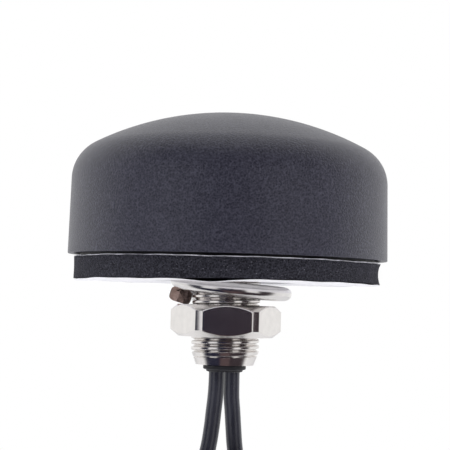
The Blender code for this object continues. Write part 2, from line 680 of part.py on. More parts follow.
def make_stud():
    """A hollow bolt: hexagonal flange inside the base, threaded shank below it, tapered at its end."""
    flange_low = pocket_floor() + SEAT_GAP
    rod = threaded_rod(STUD_END_Z, BASE_Z - THREAD_END_GAP, flange_low + FLANGE_THICKNESS / 2)
    stud = placed("threaded_stud", rod, "nickel")
    flange = prism_mesh("flange", hexagon(FLANGE_ACROSS_FLATS), flange_low, BASE_TOP_Z)
    combine(stud, cutter("flange", flange), "UNION")
    bore = rod_profile(STUD_BORE_RADIUS, STUD_END_Z - FIT_GAP, BASE_TOP_Z + FIT_GAP)
    cut(stud, cutter("stud_bore", turned_mesh("stud_bore", bore, THREAD_STEPS, closed=False)))


def nut_mesh(name, across_flats, low, high, chamfered_radius, turned_radius, turn):
    """A hexagonal nut whose corners and edges are turned off, with a plain bore that clears the thread."""
    slope = math.tan(math.radians(NUT_CHAMFER_ANGLE))
    drop = (turned_radius - chamfered_radius) * slope
    envelope = [
        (THREAD_RADIUS + THREAD_CLEARANCE, low),
        (chamfered_radius, low),
        (turned_radius, low + drop),
        (turned_radius, high - drop),
        (chamfered_radius, high),
        (THREAD_RADIUS + THREAD_CLEARANCE, high),
    ]
    body = placed("cutter_" + name, turned_mesh(name, envelope), None)
    hexagonal = prism_mesh(name, hexagon(across_flats, turn), low - FIT_GAP, high + FIT_GAP)
    combine(body, cutter(name + "_hexagon", hexagonal), "INTERSECT")
    graph = bpy.context.evaluated_depsgraph_get()
    mesh = bpy.data.meshes.new_from_object(body.evaluated_get(graph))
    body.hide_render = True
    body.display_type = "WIRE"
    return mesh


def make_nuts():
    low = NUT_TOP_Z - NUT_HEIGHT
    edges = (NUT_CHAMFER_RADIUS, NUT_TURNED_RADIUS)
    mesh = nut_mesh("nut", NUT_ACROSS_FLATS, low, NUT_TOP_Z, *edges, NUT_TURN)
    placed("hex_nut", mesh, "nickel")
    top = BASE_Z - SEAT_GAP
    corner = JAM_NUT_ACROSS_FLATS / math.sqrt(3)
    low, inner = top - JAM_NUT_HEIGHT, corner - JAM_NUT_CHAMFER
    mesh = nut_mesh("jam", JAM_NUT_ACROSS_FLATS, low, top, inner, corner, JAM_NUT_TURN)
    placed("stud_jam_nut", mesh, "nickel")


def make_washer():
    """A split spring washer: one left-hand turn of a rounded bar, loose on the stud and leaning."""
    half_width, half_height, edge = WASHER_WIDTH / 2, WASHER_THICKNESS / 2, WASHER_EDGE
    corners = []
    for sx, sz, start in ((1, 1, 0), (-1, 1, 90), (-1, -1, 180), (1, -1, 270)):
        for k in range(3):
            angle = math.radians(start + 45 * k)
            corners.append(
                (
                    WASHER_MEAN_RADIUS + sx * (half_width - edge) + edge * math.cos(angle),
                    sz * (half_height - edge) + edge * math.sin(angle),
                )
            )
    sweep = 360.0 - WASHER_SPLIT_GAP
    bm = bmesh.new()
    face = bm.faces.new([bm.verts.new((r, 0.0, z + WASHER_RISE / 2)) for r, z in corners])
    bmesh.ops.spin(
        bm,
        geom=[face, *face.edges, *face.verts],
        cent=(0, 0, 0),
        axis=(0, 0, 1),
        dvec=(0, 0, -WASHER_RISE / WASHER_STEPS),
        angle=math.radians(sweep),
        steps=WASHER_STEPS,
    )
    start = Matrix.Rotation(math.radians(WASHER_SPLIT_ANGLE), 4, "Z")
    lean = Matrix.Rotation(math.radians(WASHER_TILT_RIGHT), 4, "Y") @ Matrix.Rotation(
        math.radians(WASHER_TILT_FRONT), 4, "X"
    )
    place = Matrix.Translation((WASHER_OFFSET, 0, WASHER_MID_Z)) @ lean @ start
    placed("spring_washer", finished(bm, "spring_washer", 50.0), "washer_steel", place)


# --- Plug, leads and coils ---


def make_plug():
    """The rubber plug in the stud's end, with one opening for the pair of cables."""
    bottom = STUD_END_Z - SEAT_GAP
    flange_low = bottom - PLUG_FLANGE_THICKNESS
    shaft = STUD_BORE_RADIUS - PLUG_CLEARANCE
    profile = [
        (0.0, PLUG_END_Z),
        (PLUG_LIP_RADIUS, PLUG_END_Z),
        (PLUG_LIP_RADIUS, flange_low),
        (PLUG_FLANGE_RADIUS, flange_low),
        (PLUG_FLANGE_RADIUS, bottom),
        (shaft, bottom),
        (shaft, STUD_END_Z + PLUG_DEPTH),
        (0.0, STUD_END_Z + PLUG_DEPTH),
    ]
    plug = turned("cable_plug", profile, "rubber", 24, closed=False)
    opening = stadium(CABLE_SPACING / 2, CABLE_HOLE_RADIUS)
    low, high = PLUG_END_Z - FIT_GAP, STUD_END_Z + PLUG_DEPTH + FIT_GAP
    cut(plug, cutter("cable_opening", prism_mesh("opening", opening, low, high)))


def inner_tail(side, end_x):
    """A cable's line inside the housing: up the stud's bore, then out under the board."""
    x = side * CABLE_SPACING / 2
    bend_z = TAIL_LEVEL_Z - TAIL_BEND
    line = [Vector((x, 0, z)) for z in (PLUG_END_Z + SEAT_GAP, STUD_END_Z + PLUG_DEPTH, bend_z)]
    for k in range(1, 7):
        angle = math.pi / 2 * k / 6
        line.append(
            Vector((x + side * TAIL_BEND * (1 - math.cos(angle)), 0, bend_z + TAIL_BEND * math.sin(angle)))
        )
    line.append(Vector((side * end_x, 0, TAIL_LEVEL_Z)))
    return line


def make_tails():
    tube("cable_tail_a", inner_tail(-1, TAIL_A_END_X), CABLE_DIAMETER, "cable_jacket")
    tube("cable_tail_b", inner_tail(1, TAIL_B_END_X), CABLE_DIAMETER, "cable_jacket")
    outer = stadium(CABLE_SPACING / 2, CABLE_HOLE_RADIUS + CRIMP_WALL)
    inner = stadium(CABLE_SPACING / 2, CABLE_HOLE_RADIUS)
    low, high = BASE_TOP_Z + FIT_GAP, TAIL_LEVEL_Z - TAIL_BEND
    crimp = placed("strain_crimp", prism_mesh("crimp", outer, low, high), "tinned_steel")
    cut(crimp, cutter("crimp_opening", prism_mesh("crimp_opening", inner, low - FIT_GAP, high + FIT_GAP)))


def u_outline(radius, thickness, leg):
    """A U round a cable at the origin, open towards +Y, counter-clockwise."""
    outer = radius + thickness
    arc = [math.pi + math.pi * k / 8 for k in range(9)]
    outside = [(outer * math.cos(a), outer * math.sin(a)) for a in arc]
    inside = [(radius * math.cos(a), radius * math.sin(a)) for a in reversed(arc)]
    return [(-outer, leg), *outside, (outer, leg), (radius, leg), *inside, (-radius, leg)]


def make_clips():
    """The tinned clips that hold each cable's end up against the board."""
    leg = BOARD_Z - SEAT_GAP - TAIL_LEVEL_Z
    outline = u_outline(CABLE_HOLE_RADIUS, CLIP_THICKNESS, leg)
    mesh = prism_mesh("clip", outline, -CLIP_LENGTH / 2, CLIP_LENGTH / 2)
    # The outline's Y becomes Z, and its depth lies along X.
    upright = Matrix(((0, 0, 1, 0), (1, 0, 0, 0), (0, 1, 0, 0), (0, 0, 0, 1)))
    for name, side in (("coax_clip_a", -1), ("coax_clip_b", 1)):
        placed(name, mesh, "tinned_steel", Matrix.Translation((side * CLIP_X, 0, TAIL_LEVEL_Z)) @ upright)


def half_turn(side):
    """Lead A's coil stands as drawn, and lead B's is turned half round."""
    return Matrix.Rotation(math.pi if side > 0 else 0.0, 4, "Z")


def coil_frame(side, joint):
    """Puts a coil, drawn round Y with its first turn at the back, where that turn meets the lead's end."""
    reach = COIL_OUTER_TURN + COIL_JOIN_RISE
    meeting = spot(reach, COIL_JOIN_ANGLE)
    arm = half_turn(side) @ Vector((meeting.x, COIL_END_PLANE, meeting.y))
    return Matrix.Translation(joint - arm) @ half_turn(side)


def until(line, clearance):
    """The line's points up to where clearance(point) falls to zero, with the crossing as its last point."""
    kept = [line[0]]
    for before, after in zip(line, line[1:]):
        here, there = clearance(before), clearance(after)
        if there <= 0:
            kept.append(before.lerp(after, here / (here - there)))
            break
        kept.append(after)
    return kept


def ring_clearance(centre):
    """How far a cable's side is from the coil's outer face, less the gap that separate pieces keep."""
    reach = COIL_OUTSIDE + CABLE_DIAMETER / 2 + FIT_GAP
    return lambda p: math.hypot(p.x - centre.x, p.z - centre.z) - reach


def side_clearance(centre):
    """The same for the coil's flat side."""
    reach = COIL_HALF_WIDTH + CABLE_DIAMETER / 2 + FIT_GAP
    return lambda p: abs(p.y - centre.y) - reach


def make_lead(letter, side, route):
    """One lead: its run to the coil, the coil's outer shape, the tie and the run to the connector."""
    start = Vector((side * CABLE_SPACING / 2, 0, LEAD_START_Z))
    points = [start + Vector(p) * MM for p in route]
    frame = coil_frame(side, points[-1])
    centre = frame.translation
    line = smooth_line(points, CABLE_POINT_SPACING)
    tube(f"cable_{letter}", until(line, ring_clearance(centre)), CABLE_DIAMETER, "cable_jacket")
    h, e = COIL_HALF_WIDTH, COIL_EDGE
    profile = [
        (COIL_INSIDE + e, -h),
        (COIL_OUTSIDE - e, -h),
        (COIL_OUTSIDE, -h + e),
        (COIL_OUTSIDE, h - e),
        (COIL_OUTSIDE - e, h),
        (COIL_INSIDE + e, h),
        (COIL_INSIDE, h - e),
        (COIL_INSIDE, -h + e),
    ]
    on_edge = Matrix.Rotation(math.pi / 2, 4, "X")
    turned(f"coil_{letter}", profile, "cable_jacket", COIL_STEPS, matrix=frame @ on_edge)
    make_tie(letter, frame)
    last_turn = Vector((0, -COIL_END_PLANE, COIL_INNER_TURN))
    end = [frame @ (last_turn + Vector(p) * MM) for p in END_ROUTE]
    line = smooth_line(end, CABLE_POINT_SPACING)[::-1]
    tube(f"cable_end_{letter}", until(line, side_clearance(centre)), CABLE_DIAMETER, "cable_jacket")
    make_connector(letter, end[-1])


def make_tie(letter, frame):
    """A flat tie round the coil's bundle where the lead lies down on it."""
    middle = (COIL_OUTSIDE + COIL_INSIDE) / 2
    inner_x = (COIL_OUTSIDE - COIL_INSIDE) / 2 + FIT_GAP
    inner_y = COIL_HALF_WIDTH + FIT_GAP
    t, w = TIE_THICKNESS, TIE_WIDTH
    outer = prism_mesh("tie", rectangle(2 * (inner_x + t), 2 * (inner_y + t)), -w / 2, w / 2)
    hole = prism_mesh("tie_hole", rectangle(2 * inner_x, 2 * inner_y), -w, w)
    # The tie's own Z lies along the bundle where it sits.
    place = frame @ Matrix.Rotation(-math.radians(TIE_ANGLE), 4, "Y") @ Matrix.Translation((middle, 0, 0))
    tie = placed(f"tie_{letter}", outer, "tie_nylon", place)
    cut(tie, cutter(f"tie_hole_{letter}", hole, place))


def make_connector(letter, top):
    """An SMA plug that hangs from the cable's end, pointing down."""

    def place(z):
        return Matrix.Translation((top.x, top.y, top.z + z))

    z = -FIT_GAP - BOOT_LENGTH
    boot = [
        (0.0, 0.0),
        (BOOT_RADIUS, 0.0),
        (BOOT_RADIUS, BOOT_SHOULDER),
        (BOOT_RADIUS - BOOT_TAPER, BOOT_LENGTH),
        (0.0, BOOT_LENGTH),
    ]
    turned(f"connector_boot_{letter}", boot, "rubber", 16, closed=False, matrix=place(z))
    z -= SEAT_GAP + CONNECTOR_BODY_LENGTH
    neck = -CONNECTOR_NECK_LENGTH
    shell = neck - CONNECTOR_SHELL_LENGTH
    body = [
        (0.0, CONNECTOR_BODY_LENGTH),
        (CONNECTOR_BODY_RADIUS, CONNECTOR_BODY_LENGTH),
        (CONNECTOR_BODY_RADIUS, 0.0),
        (CONNECTOR_NECK_RADIUS, 0.0),
        (CONNECTOR_NECK_RADIUS, neck),
        (CONNECTOR_SHELL_RADIUS, neck),
        (CONNECTOR_SHELL_RADIUS, shell),
        (CONNECTOR_SOCKET_RADIUS, shell),
        (CONNECTOR_SOCKET_RADIUS, neck),
        (0.0, neck),
    ]
    turned(f"connector_body_{letter}", body[::-1], "gold", 16, closed=False, matrix=place(z))
    back = neck - SEAT_GAP
    insulator = box_ring(CONTACT_RADIUS + SEAT_GAP, INSULATOR_RADIUS, shell + INSULATOR_RECESS, back)
    turned(f"connector_insulator_{letter}", insulator, "insulator_white", 16, matrix=place(z))
    contact = [
        (0.0, shell),
        (0.5 * CONTACT_RADIUS, shell),
        (CONTACT_RADIUS, shell + CONTACT_TIP),
        (CONTACT_RADIUS, back),
        (0.0, back),
    ]
    turned(f"connector_contact_{letter}", contact, "gold", 8, closed=False, matrix=place(z))
    top_z, low_z = -SEAT_GAP, -SEAT_GAP - COUPLING_LENGTH
    web = top_z - CONNECTOR_NECK_LENGTH + 2 * SEAT_GAP
    corner = COUPLING_ACROSS_FLATS / math.sqrt(3)
    bore = [
        (COUPLING_THROAT_RADIUS, top_z),
        (corner - COUPLING_CHAMFER, top_z),
        (corner, top_z - COUPLING_CHAMFER),
        (corner, low_z + COUPLING_CHAMFER),
        (corner - COUPLING_CHAMFER, low_z),
        (COUPLING_BORE_RADIUS, low_z),
        (COUPLING_BORE_RADIUS, web),
        (COUPLING_THROAT_RADIUS, web),
    ]
    coupling = turned(f"coupling_nut_{letter}", bore, "gold", 18, matrix=place(z))
    hexagonal = prism_mesh("coupling", hexagon(COUPLING_ACROSS_FLATS), low_z - FIT_GAP, top_z + FIT_GAP)
    combine(coupling, cutter(f"coupling_hexagon_{letter}", hexagonal, place(z)), "INTERSECT")


# --- Electronics ---


def make_board():
    """The round board, pierced for its screws and for the patch's feed pin."""
    top = BOARD_Z + BOARD_THICKNESS
    board = turned("receiver_board", rod_profile(BOARD_RADIUS, BOARD_Z, top), "board_green", closed=False)
    through = rod_profile(BOARD_SCREW_RADIUS + FIT_GAP, BOARD_Z - FIT_GAP, top + FIT_GAP)
    hole = turned_mesh("board_hole", through, 12, closed=False)
    for i, angle in enumerate(STANDOFF_ANGLES):
        cut(board, cutter(f"board_hole_{i}", hole, Matrix.Translation(spot(STANDOFF_CIRCLE, angle))))
    return board


def make_patch(board):
    """The ceramic patch on its pad, its top electrode and the pin that feeds it through the board."""
    pad_z = BOARD_Z + BOARD_THICKNESS + LAYER_GAP
    patch_z = pad_z + PATCH_PAD_THICKNESS + LAYER_GAP
    top = patch_z + PATCH_HEIGHT
    pad_side = PATCH_SIDE - 2 * PATCH_PAD_INSET
    pad_mesh = prism_mesh("pad", rectangle(pad_side, pad_side), pad_z, pad_z + PATCH_PAD_THICKNESS)
    pad = placed("patch_pad", pad_mesh, "foam")
    patch = bevelled_box("patch_ceramic", PATCH_SIDE, PATCH_SIDE, patch_z, top, "ceramic", PATCH_EDGE)
    half = ELECTRODE_SIDE / 2
    short = half - ELECTRODE_CORNER
    outline = [(-half, -half), (short, -half), (half, -short), (half, half), (-short, half), (-half, short)]
    electrode_z = top + LAYER_GAP
    electrode_top = electrode_z + ELECTRODE_THICKNESS
    sheet = prism_mesh("electrode", outline, electrode_z, electrode_top)
    electrode = placed("patch_electrode", sheet, "silver")
    shank = rod_profile(FEED_PIN_RADIUS + FIT_GAP, BOARD_Z - FIT_GAP, electrode_top + FIT_GAP)
    place = Matrix.Translation((FEED_PIN_X, 0, 0))
    hole = cutter("feed_hole", turned_mesh("feed_hole", shank, 12, closed=False), place)
    for piece in (board, pad, patch, electrode):
        cut(piece, hole)
    pin_top = electrode_top + SEAT_GAP
    pin = [
        (0.0, BOARD_Z - SEAT_GAP),
        (FEED_PIN_RADIUS, BOARD_Z - SEAT_GAP),
        (FEED_PIN_RADIUS, pin_top),
        (FEED_PIN_HEAD, pin_top),
        (FEED_PIN_CROWN, pin_top + FEED_PIN_HEAD_STEP),
        (0.0, pin_top + FEED_PIN_HEAD_HEIGHT),
    ]
    turned("patch_feed_pin", pin, "silver", 12, closed=False, matrix=place)


def make_can(name, size, y, chip_name, chip):
    """A shield can under the board, open towards it, with its chip inside."""
    width, depth, height = size
    top = BOARD_Z - SEAT_GAP
    can = bevelled_box(name, width, depth, top - height, top, "tinned_steel", CAN_EDGE, y=y)
    inner = rectangle(width - 2 * CAN_WALL, depth - 2 * CAN_WALL, y=y)
    cut(can, cutter(name + "_inside", prism_mesh(name, inner, top - height + CAN_WALL, top + FIT_GAP)))
    bevelled_box(chip_name, chip[0], chip[1], top - chip[2], top, "chip", CHIP_EDGE, y=y)


def make_cellular_strip():
    """The flexible radiator that lines the skirt, with the tab that meets lead B."""
    count = round((STRIP_END - STRIP_START) / STRIP_STEP)
    angles = [STRIP_START + (STRIP_END - STRIP_START) * i / count for i in range(count + 1)]
    outside = [tuple(spot(STRIP_RADIUS + STRIP_THICKNESS, a).xy) for a in angles]
    inside = [tuple(spot(STRIP_RADIUS, a).xy) for a in reversed(angles)]
    band = prism_mesh("strip", outside + inside, STRIP_Z, STRIP_Z + STRIP_HEIGHT)
    strip = placed("cellular_strip", band, "copper_flex")
    low = TAIL_B_END_X + FIT_GAP
    high = STRIP_RADIUS + STRIP_THICKNESS / 2
    tab = rectangle(high - low, TAB_WIDTH, x=(low + high) / 2)
    half = TAB_THICKNESS / 2
    tab_mesh = prism_mesh("tab", tab, TAIL_LEVEL_Z - half, TAIL_LEVEL_Z + half)
    combine(strip, cutter("feed_tab", tab_mesh), "UNION")


def clear_scene():
    for obj in list(bpy.data.objects):
        bpy.data.objects.remove(obj, do_unlink=True)


def main():
    clear_scene()
    make_radome()
    make_base()
    make_seals()
    make_gasket()
    make_screws()
    make_stud()
    make_nuts()
    make_washer()
    make_plug()
    make_tails()
    make_clips()
    make_patch(make_board())
    make_can("receiver_shield", RECEIVER_CAN, RECEIVER_CAN_Y, "receiver_module", RECEIVER_CHIP)
    make_can("lna_shield", LNA_CAN, LNA_CAN_Y, "lna_amplifier", LNA_CHIP)
    make_cellular_strip()
    make_lead("a", -1, LEAD_A_ROUTE)
    make_lead("b", 1, LEAD_B_ROUTE)


main()
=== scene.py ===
import json
import math

import bmesh
import bpy
import numpy as np
from mathutils import Matrix, Vector


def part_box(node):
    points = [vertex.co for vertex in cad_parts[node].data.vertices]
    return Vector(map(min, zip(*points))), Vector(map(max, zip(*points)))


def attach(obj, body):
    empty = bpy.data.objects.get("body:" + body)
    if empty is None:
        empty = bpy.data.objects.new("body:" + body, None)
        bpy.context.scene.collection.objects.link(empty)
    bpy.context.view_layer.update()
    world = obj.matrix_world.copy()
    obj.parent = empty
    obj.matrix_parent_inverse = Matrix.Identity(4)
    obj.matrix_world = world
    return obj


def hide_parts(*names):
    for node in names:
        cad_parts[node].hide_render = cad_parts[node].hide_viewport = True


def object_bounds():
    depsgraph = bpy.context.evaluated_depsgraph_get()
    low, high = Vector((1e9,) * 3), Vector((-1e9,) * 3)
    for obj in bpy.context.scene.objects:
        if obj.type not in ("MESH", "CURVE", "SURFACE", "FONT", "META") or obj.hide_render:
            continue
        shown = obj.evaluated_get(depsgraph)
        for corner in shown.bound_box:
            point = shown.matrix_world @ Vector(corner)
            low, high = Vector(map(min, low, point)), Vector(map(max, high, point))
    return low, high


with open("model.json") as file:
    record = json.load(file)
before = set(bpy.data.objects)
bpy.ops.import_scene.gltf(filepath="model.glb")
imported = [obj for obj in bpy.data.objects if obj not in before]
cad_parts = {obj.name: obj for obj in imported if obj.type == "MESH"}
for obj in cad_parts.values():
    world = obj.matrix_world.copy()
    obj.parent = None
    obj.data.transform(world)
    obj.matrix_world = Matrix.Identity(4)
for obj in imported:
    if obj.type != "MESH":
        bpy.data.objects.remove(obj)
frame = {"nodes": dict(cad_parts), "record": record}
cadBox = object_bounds()
mm = 0.001
print("frame loaded:", len(frame["nodes"]), "nodes")


class Val:  # a node socket that takes part in ordinary arithmetic
    def __init__(self, kit, socket):
        self.kit = kit
        self.socket = socket

    def math(self, operation, *others):
        return self.kit.add("ShaderNodeMath", {"operation": operation}, [self, *others])

    def __add__(self, other):
        return self.math("ADD", other)

    def __radd__(self, other):
        return self.math("ADD", other)

    def __sub__(self, other):
        return self.math("SUBTRACT", other)

    def __rsub__(self, other):
        return self.kit.add("ShaderNodeMath", {"operation": "SUBTRACT"}, [other, self])

    def __mul__(self, other):
        return self.math("MULTIPLY", other)

    def __rmul__(self, other):
        return self.math("MULTIPLY", other)

    def __truediv__(self, other):
        return self.math("DIVIDE", other)

    def __rtruediv__(self, other):
        return self.kit.add("ShaderNodeMath", {"operation": "DIVIDE"}, [other, self])

    def __neg__(self):
        return self.math("MULTIPLY", -1.0)


class Kit:  # adds nodes to one tree
    def __init__(self, tree):
        self.tree = tree

    def add(self, kind, settings=None, inputs=None, out=0):
        node = self.tree.nodes.new(kind)
        for key, value in (settings or {}).items():
            if key == "stops":
                self.setStops(node.color_ramp, value)
            else:
                setattr(node, key, value)
        pairs = inputs.items() if isinstance(inputs, dict) else enumerate(inputs or [])
        for key, value in pairs:
            self.feed(node.inputs[key], value)
        if not node.outputs:
            return node
        return Val(self, node.outputs[out])

    def feed(self, socket, value):
        if isinstance(value, Val):
            self.tree.links.new(value.socket, socket)
        else:
            socket.default_value = value

    def setStops(self, ramp, stops):
        while len(ramp.elements) < len(stops):
            ramp.elements.new(0.5)
        for element, (place, colour) in zip(ramp.elements, stops):
            element.position = place
            element.color = (*colour, 1.0)

    def split(self, vector):
        node = self.tree.nodes.new("ShaderNodeSeparateXYZ")
        self.feed(node.inputs[0], vector)
        return [Val(self, s) for s in node.outputs]

    def join(self, x, y, z):
        return self.add("ShaderNodeCombineXYZ", inputs=[x, y, z])

    def remap(self, value, low, high, toLow=0.0, toHigh=1.0):
        return self.add("ShaderNodeMapRange", {"interpolation_type": "SMOOTHSTEP"}, [value, low, high, toLow, toHigh])


class Finish(Kit):  # one Principled material
    def __init__(self, name, colour, roughness, metallic=0.0, **fixed):
        self.material = bpy.data.materials.new(name)
        self.material.use_nodes = True
        super().__init__(self.material.node_tree)
        self.shader = self.tree.nodes["Principled BSDF"]
        self.set("Base Color", (*colour, 1.0))
        self.set("Roughness", roughness)
        self.set("Metallic", metallic)
        for key, value in fixed.items():
            self.set(key.replace("_", " "), value)
        self.place = self.add("ShaderNodeTexCoord", out=3)

    def set(self, name, value):
        self.feed(self.shader.inputs[name], value)

    def noise(self, size, detail=3.0, roughness=0.5, at=None):
        return self.add(
            "ShaderNodeTexNoise",
            inputs={"Vector": at or self.place, "Scale": 1.0 / size, "Detail": detail, "Roughness": roughness},
        )

    def cells(self, size, feature="F1", at=None):
        return self.add("ShaderNodeTexVoronoi", {"feature": feature}, {"Vector": at or self.place, "Scale": 1.0 / size})

    def stretched(self, x, y, z):
        return self.add("ShaderNodeMapping", inputs={"Vector": self.place, "Scale": (x, y, z)})

    def ramp(self, factor, *stops):
        return self.add("ShaderNodeValToRGB", {"stops": stops}, [factor])

    def colours(self, factor, dark, light):
        self.set("Base Color", self.ramp(factor, (0.3, dark), (0.7, light)))

    def bump(self, height, distance, strength=1.0):
        bumped = self.add("ShaderNodeBump", inputs={"Height": height, "Distance": distance, "Strength": strength})
        self.set("Normal", bumped)


# Camera, low in front, looking slightly up, with the stud's axis leaning right at its top.
cameraFacts = {"distance": 0.23, "eyeHeight": -0.0026, "aim": (-0.0006, 0.0, 0.0101), "fieldWidth": 0.07945, "roll": 1.6}


def makeCamera():
    eye = Vector((cameraFacts["aim"][0], -cameraFacts["distance"], cameraFacts["eyeHeight"]))
    look = Vector(cameraFacts["aim"]) - eye
    data = bpy.data.cameras.new("camera")
    data.sensor_width = 36.0
    data.lens = data.sensor_width * look.length / cameraFacts["fieldWidth"]
    data.clip_start = 0.01
    camera = bpy.data.objects.new("camera", data)
    turn = look.to_track_quat("-Z", "Y").to_matrix().to_4x4()
    camera.matrix_world = Matrix.Translation(eye) @ turn @ Matrix.Rotation(math.radians(cameraFacts["roll"]), 4, "Z")
    bpy.context.scene.collection.objects.link(camera)
    bpy.context.scene.camera = camera


# Studio: bright behind and overhead, dark in front, with a tall bright strip on each side of the camera.
# Angles are in degrees round the object, from straight in front.
studio = {
    "floorRadius": 0.26, "floorGap": 0.004, "floorBack": 0.23, "surround": 1.0, "shadeEdge": (78.0, 97.0),
    "topEdge": (0.80, 0.97), "shadeLeft": (0.022, 0.022, 0.042), "shadeRight": (0.046, 0.034, 0.040),
    "shadeTurn": (-4.0, 9.0), "stripLevel": 0.9, "leftStrip": (-60.0, -55.0, -30.0, -23.0),
    "rightStrip": (25.0, 31.0, 52.0, 56.0), "stripLow": (-0.40, -0.24), "stripHigh": (0.24, 0.44),
    "underShade": (0.105, 0.072, 0.075), "underEdge": (-0.20, -0.60), "underTurn": (14.0, 27.0), "fill": 0.9, "fillSize": 0.25, "fillSpot": (0.0, -0.20, -0.22),
    "sideLight": 1.0, "sideSize": 0.16, "sideSpot": (0.36, -0.10, 0.20),
}


def makeSoftbox(name, power, size, spot):
    lamp = bpy.data.lights.new(name, "AREA")
    lamp.energy = power
    lamp.size = size
    holder = bpy.data.objects.new(name, lamp)
    holder.location = spot
    holder.rotation_euler = (-spot).to_track_quat("-Z", "Y").to_euler()
    holder.visible_glossy = False  # its glow lights the dull pieces and leaves no spot on the bright ones
    bpy.context.scene.collection.objects.link(holder)


def makeStudio():
    scene = bpy.context.scene
    scene.view_settings.view_transform = "Standard"
    world = bpy.data.worlds.new("studio")
    scene.world = world
    world.use_nodes = True
    kit = Kit(world.node_tree)
    background = world.node_tree.nodes["Background"]
    x, y, z = kit.split(kit.add("ShaderNodeTexCoord", out=0))
    bearing = x.math("ARCTAN2", -y) * math.degrees(1.0)
    lit = kit.remap(bearing.math("ABSOLUTE"), *studio["shadeEdge"]).math("MAXIMUM", kit.remap(z, *studio["topEdge"]))
    strips = 0.0
    for start, full, fade, stop in (studio["leftStrip"], studio["rightStrip"]):
        strips = kit.remap(bearing, start, full) * (1.0 - kit.remap(bearing, fade, stop)) + strips
    strips = strips * (1.0 - lit) * kit.remap(z, *studio["stripLow"]) * (1.0 - kit.remap(z, *studio["stripHigh"]))
    across = kit.remap(bearing, *studio["shadeTurn"])
    tones = []
    below = kit.remap(-z, *[-edge for edge in studio["underEdge"]])
    below = below * (1.0 - kit.remap(bearing.math("ABSOLUTE"), *studio["underTurn"]))
    for left, right, under in zip(studio["shadeLeft"], studio["shadeRight"], studio["underShade"]):
        shade = left + (right - left) * across
        shade = shade + (under - shade) * below
        tones.append(shade * (1.0 - lit) + studio["surround"] * lit + studio["stripLevel"] * strips)
    kit.feed(background.inputs["Color"], kit.join(*tones))
    plain = kit.add("ShaderNodeBackground", inputs=[(1.0, 1.0, 1.0, 1.0), 1.0])
    seen = kit.add("ShaderNodeLightPath")
    mixed = kit.add("ShaderNodeMixShader", inputs=[seen, Val(kit, background.outputs[0]), plain])
    kit.feed(world.node_tree.nodes["World Output"].inputs["Surface"], mixed)
    right = Vector(studio["sideSpot"])
    left = Vector((-right.x, right.y, right.z))
    makeSoftbox("softboxRight", studio["sideLight"], studio["sideSize"], right)
    makeSoftbox("softboxLeft", studio["sideLight"], studio["sideSize"], left)
    makeSoftbox("fill", studio["fill"], studio["fillSize"], Vector(studio["fillSpot"]))
    floor = bpy.data.meshes.new("floor")
    bm = bmesh.new()
    bmesh.ops.create_circle(bm, cap_ends=True, radius=studio["floorRadius"], segments=96)
    bmesh.ops.translate(bm, verts=bm.verts, vec=(0, studio["floorBack"], cadBox[0].z - studio["floorGap"]))
    bm.to_mesh(floor)
    bm.free()
    floorPiece = bpy.data.objects.new("floor", floor)
    scene.collection.objects.link(floorPiece)
    paper = Finish("floorPaper", (0.86, 0.86, 0.87), 0.9)
    paper.bump(paper.noise(0.004), 0.0002)
    floor.materials.append(paper.material)


makeCamera()
makeStudio()
print("camera and studio")


# Finishes
def radomePlastic():
    made = Finish("sparkTexturedPlastic", (0.026, 0.026, 0.040), 0.5)
    grain = made.noise(0.26 * mm, 2.0, 0.6)
    pits = made.cells(0.34 * mm)
    cloud = made.noise(3.0 * mm, 2.0)
    made.colours(grain * 0.55 + pits * 0.35 + cloud * 0.1, (0.008, 0.008, 0.016), (0.060, 0.060, 0.084))
    made.set("Roughness", 0.27 + 0.22 * grain)
    made.bump(grain + 0.5 * pits, 0.085 * mm, 0.85)
    return made.material


def foamRubber():
    made = Finish("closedCellFoam", (0.012, 0.012, 0.016), 0.95)
    cell = made.cells(0.30 * mm)
    grit = made.noise(0.26 * mm, 2.0)
    fleck = made.remap(made.noise(0.22 * mm, 1.0), 0.68, 0.76)
    dark, light = (0.002, 0.002, 0.004), (0.042, 0.042, 0.055)
    body = made.ramp(cell * 0.5 + grit * 0.5, (0.25, dark), (0.7, light))
    flecked = made.add(
        "ShaderNodeMix", {"data_type": "RGBA"}, {0: fleck, 6: body, 7: (0.16, 0.16, 0.19, 1.0)}, out=2
    )
    made.set("Base Color", flecked)
    made.bump(cell + grit, 0.12 * mm)
    return made.material


def nickelPlate(name="nickelPlate", tint=(0.80, 0.775, 0.755), roughness=0.14):
    made = Finish(name, tint, roughness, 1.0)
    patch = made.noise(1.6 * mm, 4.0)
    scratch = made.noise(0.5 * mm, 2.0, at=made.stretched(1.0, 1.0, 7.0))
    made.colours(patch, tuple(c * 0.93 for c in tint), tint)
    made.set("Roughness", roughness - 0.04 + 0.08 * patch + 0.05 * scratch)
    made.bump(scratch + 0.5 * patch, 0.004 * mm)
    return made.material


def shearedSteel():
    made = Finish("shearedSteel", (0.20, 0.14, 0.12), 0.5, 0.35)
    facet = made.add("ShaderNodeTexVoronoi", {"feature": "F1"}, {"Vector": made.place, "Scale": 1.0 / (1.1 * mm)}, out=1)
    red, _, blue = made.split(facet)
    tear = made.noise(0.5 * mm, 4.0, 0.6)
    made.colours(red * 0.6 + tear * 0.5, (0.03, 0.018, 0.016), (0.52, 0.37, 0.32))
    made.set("Roughness", 0.35 + 0.3 * blue)
    made.bump(made.cells(1.1 * mm) + 0.35 * tear, 0.5 * mm)
    return made.material


